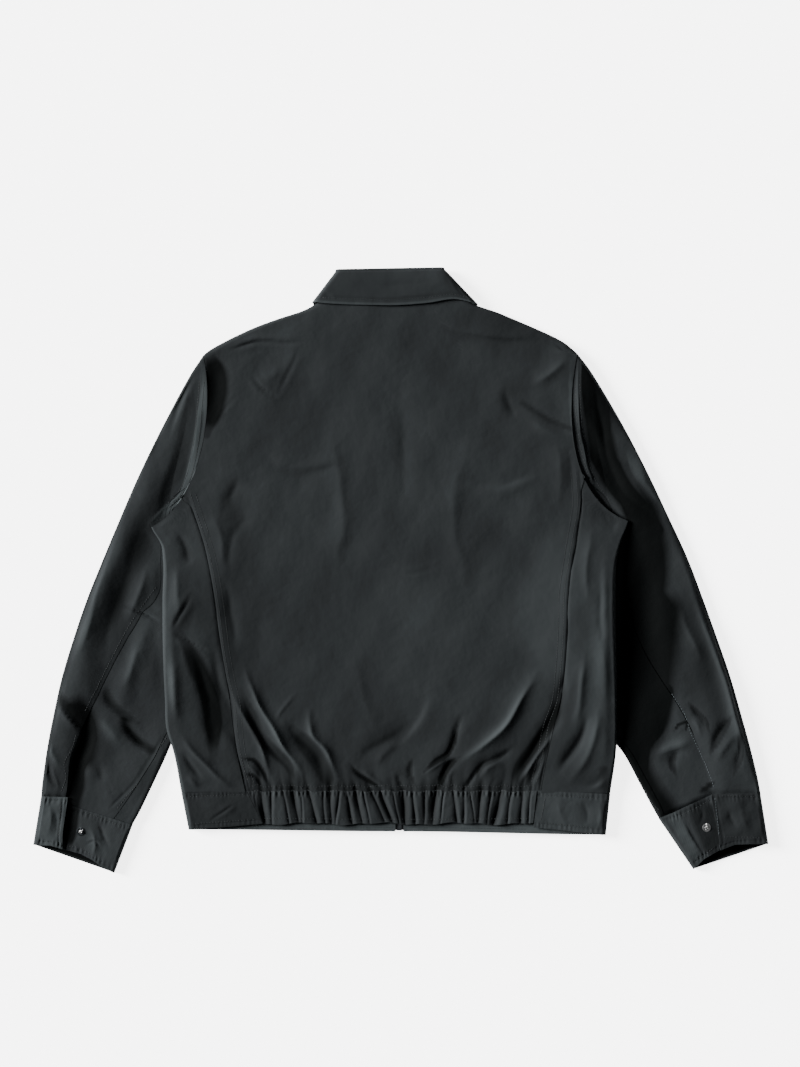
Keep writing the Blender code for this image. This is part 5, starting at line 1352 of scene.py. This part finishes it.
def collarLoop(name, top, low, radius):
    # one line of the collar all the way round, with its height
    turns = np.radians(np.linspace(-90, 90, 13))
    runs = []
    for side in ("left", "right"):
        start, end = frontLine(name, side, 0.0).reshape(-1), frontLine(name, side, 1.0).reshape(-1)
        inset = radius / np.linalg.norm(end - start)
        part = np.linspace(0, 1, collarFit["fronts"] + 1)[:-1]
        front = frontLine(name, side, part * (1 - inset))
        front = np.column_stack([front, np.full(len(part), low)])
        corner = collarCorner(name, side)
        length = np.linalg.norm(end - frontLine(name, side, 0.6).reshape(-1)) / 0.4
        reach = radius * (1 - np.cos(turns))
        under = frontLine(name, side, 1 - reach / length) + (corner - end) * (1 - reach / radius)[:, None]
        inward = backLine(name, 0.5)[0] - corner
        over = corner + inward / np.linalg.norm(inward) * reach[:, None]
        corner = np.where((turns < 0)[:, None], under, over)
        corner = np.column_stack([corner, (top + low) / 2 + (top - low) / 2 * np.sin(turns)])
        runs.append(np.concatenate([front, corner]))
    width = np.linalg.norm(collarCorner(name, "left") - collarCorner(name, "right"))
    part = np.linspace(radius / width, 1 - radius / width, collarFit["back"] + 2)[1:-1]
    back = np.column_stack([backLine(name, part), np.full(len(part), top)])
    return np.concatenate([runs[0], back, runs[1][::-1]])


def buildStand():
    neckLoop = collarLoop("neck", *collarFit["standHeights"])
    topLoop = collarLoop("standTop", *collarFit["standHeights"])
    rows = mix(neckLoop[None], topLoop[None], np.linspace(0, 1, collarFit["standRows"])[:, None, None])
    piece = sheetMesh("collar_stand_cloth", rows[..., 0], rows[..., 1], rows[..., 2], collarFit["wall"])
    return standFor(piece, "collar_stand", "panel")


def buildFall():
    at = np.concatenate([np.linspace(0, 2, 8)[:-1], np.linspace(2, 4, 13)[:-1],
                         np.linspace(4, 6, collarFit["rows"] - 19)])
    rows = []
    for line in at:
        sidePart, top, low, radius = (float(np.interp(line, fallLines["line"], fallLines[key]))
                                      for key in ("sidePart", "top", "low", "radius"))
        names = ("standTop", "fold") if sidePart <= 1.0 else ("fold", "edge")
        part = sidePart if sidePart <= 1.0 else sidePart - 1.0
        rows.append(mix(collarLoop(names[0], top, low, radius), collarLoop(names[1], top, low, radius), part))
    rows = np.array(rows)
    x, y, z = rows[..., 0], rows[..., 1], rows[..., 2]
    onTop = smooth(9.0, 12.0, z) * smooth(3.0, 4.6, at)[:, None]
    rise = relief(x, y, collarFolds) * onTop
    swell = collarFit["swell"] * np.sin(math.pi * smooth(3.4, 6.2, at))[:, None] * onTop
    paintedLight = paintedLightFromRelief(rise) + relief(x, y, collarPaintedShade)
    # the fall's edge is painted lighter where the shadow line under it falls
    paintedLight[-2:] += collarFit["rimPaintedLight"]
    piece = sheetMesh("collar_fall_cloth", x, y, np.maximum(z + rise + swell, 0), collarFit["wall"],
                      flip=True, paintedLight=paintedLight)
    return standFor(piece, "collar_fall", "panel")


# zip: woven tapes, metal teeth and the parts of the CAD model in their metal
zipFit = {"tapeWidth": 15.0, "tapeWall": 0.8, "tapeEdge": 0.4, "openEdge": 1.7, "sliderY": 268.0,
          "low": -326.6, "boxTop": -317.6, "boxHalf": 1.6, "high": 291.0, "overBand": 0.4,
          "rows": 150, "columns": 9, "pitch": 2.6, "tooth": (3.4, 1.15, 2.0), "toothMiddle": 0.9,
          "toothBevel": 0.28, "firstTooth": 4.5}


def zipHeight(y):
    return bend(y, bodyHeights["y"], bodyHeights["frontMid"]) + bandFit["wall"] + zipFit["overBand"]


def tapeGap(y):
    beside = mix(zipFit["boxHalf"], zipFit["tapeEdge"], smooth(zipFit["boxTop"], zipFit["boxTop"] + 3, y))
    return mix(beside, zipFit["openEdge"], smooth(zipFit["sliderY"] - 2, zipFit["sliderY"] + 3, y))


def buildTape(side):
    y = np.linspace(zipFit["low"], zipFit["high"], zipFit["rows"])[:, None] * np.ones((1, zipFit["columns"]))
    part = np.linspace(0, 1, zipFit["columns"])[None, :]
    x = zipX + outward[side] * mix(tapeGap(y), zipFit["tapeWidth"], part)
    z = zipHeight(y) + zipFit["tapeWall"]
    piece = sheetMesh("zip_tape_woven_" + side, x, y, z, zipFit["tapeWall"], flip=side == "left")
    return standFor(piece, "zip_tape_" + side, "tape")


def buildTeeth(side):
    # one bevelled tooth, repeated up the tape's edge
    sign, size = outward[side], zipFit["tooth"]
    low = zipFit["boxTop"] + zipFit["firstTooth"] + (zipFit["pitch"] / 2 if side == "left" else 0)
    deselect()
    bpy.ops.mesh.primitive_cube_add(size=1.0)
    piece = bpy.context.object
    piece.name = piece.data.name = "zip_teeth_" + side
    piece.scale = Vector(size) * mm
    piece.location = ((zipX + sign * zipFit["toothMiddle"] + centring[0]) * mm, (low + centring[1]) * mm, 0)
    bpy.ops.object.transform_apply(location=True, rotation=False, scale=True)
    bevel = piece.modifiers.new("edge", "BEVEL")
    bevel.width, bevel.segments = zipFit["toothBevel"] * mm, 2
    row = piece.modifiers.new("row", "ARRAY")
    row.use_relative_offset = False
    row.use_constant_offset = True
    row.constant_offset_displace = (0, zipFit["pitch"] * mm, 0)
    row.count = int((zipFit["high"] - 3.0 - low) / zipFit["pitch"])
    applyAll(piece)
    co = np.zeros(len(piece.data.vertices) * 3, np.float32)
    piece.data.vertices.foreach_get("co", co)
    co = co.reshape(-1, 3)
    y = co[:, 1] / mm - centring[1]
    co[:, 2] += (zipHeight(y) + zipFit["tapeWall"] / 2) * mm
    co[:, 0] += sign * (tapeGap(y) - zipFit["tapeEdge"]) * mm
    piece.data.vertices.foreach_set("co", co.reshape(-1))
    deselect()
    piece.select_set(True)
    bpy.context.view_layer.objects.active = piece
    bpy.ops.object.shade_smooth_by_angle(angle=math.radians(35))
    return dress(piece, "zip")


# snap studs
# steps: each insets the top face to a share of its radius after lifting it
studFit = {"left": (-400.6, -328.0), "right": (382.5, -323.0), "radius": 5.3, "base": 8.5, "flange": 0.75,
           "bevel": 0.1, "litRadius": {"left": 2.5, "right": 6.0},
           "steps": [(0.8, 0.1), (0.82, -0.25), (0.62, 0.05), (0.92, 0.9), (1.26, 0.55), (0.93, 0.35),
                     (0.6, 0.25), (0.7, -0.35)]}


def growTop(piece, steps, centre):
    deselect()
    piece.select_set(True)
    bpy.context.view_layer.objects.active = piece
    top = max(polygon.center.z for polygon in piece.data.polygons)
    for polygon in piece.data.polygons:
        polygon.select = polygon.center.z > top - 1e-6 and polygon.normal.z > 0.9
    bpy.context.tool_settings.mesh_select_mode = (False, False, True)
    bpy.ops.object.mode_set(mode="EDIT")
    for factor, rise in steps:
        bpy.ops.mesh.extrude_region_move(TRANSFORM_OT_translate={"value": (0, 0, rise * mm)})
        bpy.ops.transform.resize(value=(factor, factor, 1.0), center_override=centre)
    bpy.ops.object.mode_set(mode="OBJECT")


def buildStud(side):
    x, y = studFit[side]
    centre = Vector(((x + centring[0]) * mm, (y + centring[1]) * mm, studFit["base"] * mm))
    deselect()
    bpy.ops.mesh.primitive_cylinder_add(vertices=48, radius=studFit["radius"] * mm,
                                        depth=studFit["flange"] * mm,
                                        location=centre + Vector((0, 0, studFit["flange"] / 2 * mm)))
    piece = bpy.context.object
    piece.name = piece.data.name = "snap_stud_metal_" + side
    bpy.ops.object.transform_apply(location=True, rotation=True, scale=True)
    growTop(piece, studFit["steps"], centre)
    bevel = piece.modifiers.new("edge", "BEVEL")
    bevel.width, bevel.segments = studFit["bevel"] * mm, 2
    applyAll(piece)
    bpy.ops.object.shade_smooth_by_angle(angle=math.radians(30))
    standFor(piece, "snap_stud_" + side, "snap")
    # outside its bright middle the stud takes the dark brass as painted shade: the left one lies in the
    # flap's shadow, the right one stays bright
    piece.data.materials.append(materials["paintedShadeRim"])
    for polygon in piece.data.polygons:
        if (polygon.center - centre).xy.length > studFit["litRadius"][side] * mm:
            polygon.material_index = 1
    return piece


# sew it together
cloth = {"back": buildBack(), "waistband_back": buildElastic()}
print("back and elastic waistband made")
for side in outward:
    cloth["front_" + side] = buildFront(side)
    cloth["sleeve_upper_" + side], cloth["sleeve_under_" + side] = buildSleeve(side)
    cloth["cuff_" + side] = buildCuff(side)
    cloth["waistband_" + side] = buildBand(side)
    cloth["zip_tape_" + side] = buildTape(side)
    buildTeeth(side)
    buildStud(side)
cloth["collar_stand"] = buildStand()
cloth["collar_fall"] = buildFall()
print("fronts, sleeves, cuffs, waistband, collar and zip made")

for name in ("zip_box", "zip_slider", "zip_pull"):
    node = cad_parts[name]
    node.data.materials.clear()
    node.data.materials.append(materials["zip"])


# stitches, laid on the cloth from above
stitchFit = {"length": 2.7, "gap": 0.9, "radius": 0.3, "lift": 0.05, "above": 80.0, "steepest": 1.6,
             "full": (0.2, 0.8)}


def topOf(names):
    points, faces = [], []
    for name in names:
        mesh = cloth[name].data
        start = len(points)
        points += [vertex.co.copy() for vertex in mesh.vertices]
        faces += [[start + i for i in polygon.vertices] for polygon in mesh.polygons]
    return BVHTree.FromPolygons(points, faces)


def stitches(name, names, paths, thread="thread"):
    # small thread bumps along lines read off the photograph
    tree = topOf(names)
    points, faces = [], []
    for path in paths:
        line = smoothPath(onPhoto(path), 0.5)
        lengths = np.concatenate([[0], np.cumsum(np.hypot(*np.diff(line, axis=0).T))])
        pitch = stitchFit["length"] + stitchFit["gap"]
        for start in np.arange(0, lengths[-1] - pitch, pitch):
            ends = []
            for along in (start, start + stitchFit["length"]):
                x, y = (np.interp(along, lengths, line[:, k]) + centring[k] for k in (0, 1))
                hit = tree.ray_cast(Vector((x * mm, y * mm, stitchFit["above"] * mm)), Vector((0, 0, -1)))[0]
                ends.append(hit)
            if None in ends or abs(ends[0].z - ends[1].z) > stitchFit["steepest"] * mm:
                continue
            first = len(points)
            run = ends[1] - ends[0]
            across = Vector((-run.y, run.x, 0)).normalized() * stitchFit["radius"] * mm
            up = Vector((0, 0, stitchFit["radius"] * mm))
            base = Vector((0, 0, stitchFit["lift"] * mm))
            points.append(ends[0] + base)
            for part in stitchFit["full"]:
                middle = ends[0] + run * part + base
                points += [middle + across, middle + up, middle - across, middle - up]
            points.append(ends[1] + base)
            for k in range(4):
                a, b = first + 1 + k, first + 1 + (k + 1) % 4
                faces += [[first, b, a], [a, b, b + 4, a + 4], [first + 9, a + 4, b + 4]]
    mesh = bpy.data.meshes.new(name)
    mesh.from_pydata(points, [], faces)
    mesh.update()
    piece = bpy.data.objects.new(name, mesh)
    bpy.context.scene.collection.objects.link(piece)
    piece.data.shade_smooth()
    return dress(piece, thread)


def shifted(path, dx, dy):
    return [(px + dx, py + dy) for px, py in path]


seamPaths = {
    "left": [(190.5, 494), (199.5, 521), (208.5, 549), (212.5, 566), (219.5, 610), (225.5, 656), (230.5, 683),
             (235.5, 705), (237.5, 729), (240.5, 753), (246.5, 776), (249.5, 785)],
    "right": [(576, 473), (577.5, 507), (573, 534), (568, 564), (564, 592), (563, 630), (562, 649),
              (560, 676), (557, 701), (548.5, 726), (543.5, 751), (538, 776), (536, 785)],
}
armholePaths = {
    "left": [(204, 382), (202, 406), (199.5, 434), (195, 460), (189.5, 480), (181, 495), (166, 510)],
    "right": [(575.5, 385), (576, 408), (578, 430), (582.5, 455), (588, 474), (596, 489), (607, 503)],
}
body = ["back", "front_left", "front_right"]


def besideSeam(level):
    # a row of stitches that follows the gathered seam
    across = np.linspace(249, 536, 150)
    wave = seamWander((across - photo["middleX"]) * photo["pitch"], 0.0)
    return list(zip(across, level - wave / photo["pitch"]))


sewing = [
    stitches("stitches_side_seams", body, [seamPaths["left"], shifted(seamPaths["left"], 5, 0),
                                           seamPaths["right"], shifted(seamPaths["right"], -5, 0)]),
    stitches("stitches_armhole_left", ["sleeve_upper_left", "sleeve_under_left"],
             [armholePaths["left"], shifted(armholePaths["left"], -4.5, -1)]),
    stitches("stitches_armhole_right", ["sleeve_upper_right", "sleeve_under_right"],
             [armholePaths["right"], shifted(armholePaths["right"], 4.5, -1)]),
    stitches("stitches_collar", ["collar_fall"],
             [[(308, 296.5), (330, 298), (372, 299.5), (400, 299.5), (430, 297), (452, 294.3), (471, 298)]]),
    stitches("stitches_waistband_back", ["waistband_back", "back"],
             [besideSeam(791.6), besideSeam(786.0),
              [(261, 818.5), (330, 819), (400, 819.4), (470, 819.2), (531, 818.6)]]),
    stitches("stitches_waistband_left", ["waistband_left"],
             [[(190, 796.5), (215, 795.5), (246, 794.5)], [(195, 824), (225, 821.5), (256, 819.5)],
              [(270, 828.6), (330, 828.4), (392, 828)],
              [(250.5, 796), (258, 808), (264, 818)]]),
    stitches("stitches_waistband_right", ["waistband_right"],
             [[(541, 795), (570, 796.5), (600, 798.5)], [(540, 823), (565, 825), (594, 828)],
              [(408, 828), (470, 828.6), (528, 829.6)],
              [(545.5, 796), (543, 810), (540.5, 822)]]),
    stitches("stitches_cuff_left", ["cuff_left"],
             [[(44, 800), (54, 799.8), (60, 800)], [(38, 840), (48, 841.5), (57, 842.5)],
              [(60.5, 802), (60, 815), (58.5, 838)], [(82, 812), (92, 815), (108, 821), (125, 828)],
              [(66, 846), (78, 848), (90, 854), (104, 864)]]),
    stitches("stitches_cuff_right", ["cuff_right"],
             [[(719, 796), (735, 796), (758, 797)], [(724, 837), (740, 837), (764, 838)],
              [(680, 816), (691, 811), (711, 800)], [(692, 862), (702, 857), (714, 848)]]),
    # pale thread as a painted highlight on the flap's lit edge
    stitches("stitches_flap_right", ["cuff_right"], [[(715, 798), (717, 815), (719.5, 838)]], "highlightThread"),
    stitches("stitches_sleeve_left", ["sleeve_upper_left", "sleeve_under_left"],
             [[(156, 587), (133, 619), (110, 661), (97, 687), (84, 713)],
              [(76, 735), (72, 748), (64, 765), (66, 776), (61, 792)],
              [(166, 738), (160.5, 746), (151, 763), (138, 783), (126, 797), (116, 810)]]),
    stitches("stitches_sleeve_right", ["sleeve_upper_right", "sleeve_under_right"],
             [[(645, 790), (653, 804), (660, 811)]]),
    # pale thread as a painted highlight on the placket's lit edge
    stitches("stitches_placket_right", ["sleeve_upper_right", "sleeve_under_right"],
             [[(672, 694), (686, 717), (690, 730), (700, 752), (708, 770), (713, 784), (714, 791)]],
             "highlightThread"),
]
print("stitches made:", sum(len(piece.data.polygons) for piece in sewing) // 12)

# each piece's cloth coordinates, read back from its mesh
for name, piece in cloth.items():
    uv = np.zeros(len(piece.data.loops) * 2, np.float32)
    piece.data.uv_layers["cloth"].data.foreach_get("uv", uv)
    uv = uv.reshape(-1, 2)

# floor and studio light
deselect()
bpy.ops.mesh.primitive_plane_add(size=9.0, location=(0, 0, -0.4 * mm))
floor = bpy.context.object
floor.name = "floor"
floor.data.materials.append(floorMaterial())

light = {"sun": 20.0, "sunSpread": 22.0, "sunFrom": (-1.0, 0.3, 0.42), "fill": 10.0, "fillSize": 2.6,
         "fillPlace": (-0.8, 0.6, 3.0), "world": 0.12, "worldColour": "#e6ecf2"}


def aimAtJacket(lamp, place):
    lamp.rotation_euler = (-Vector(place)).to_track_quat("-Z", "Y").to_euler()
    bpy.context.scene.collection.objects.link(lamp)


keyData = bpy.data.lights.new("key", "SUN")
keyData.energy = light["sun"]
keyData.angle = math.radians(light["sunSpread"])
aimAtJacket(bpy.data.objects.new("key", keyData), light["sunFrom"])
fillData = bpy.data.lights.new("fill", "AREA")
fillData.size = light["fillSize"]
fillData.energy = light["fill"]
fill = bpy.data.objects.new("fill", fillData)
fill.location = light["fillPlace"]
aimAtJacket(fill, light["fillPlace"])
world = bpy.data.worlds.new("studio")
world.use_nodes = True
background = world.node_tree.nodes["Background"]
background.inputs["Color"].default_value = linear(light["worldColour"])
background.inputs["Strength"].default_value = light["world"]
bpy.context.scene.world = world
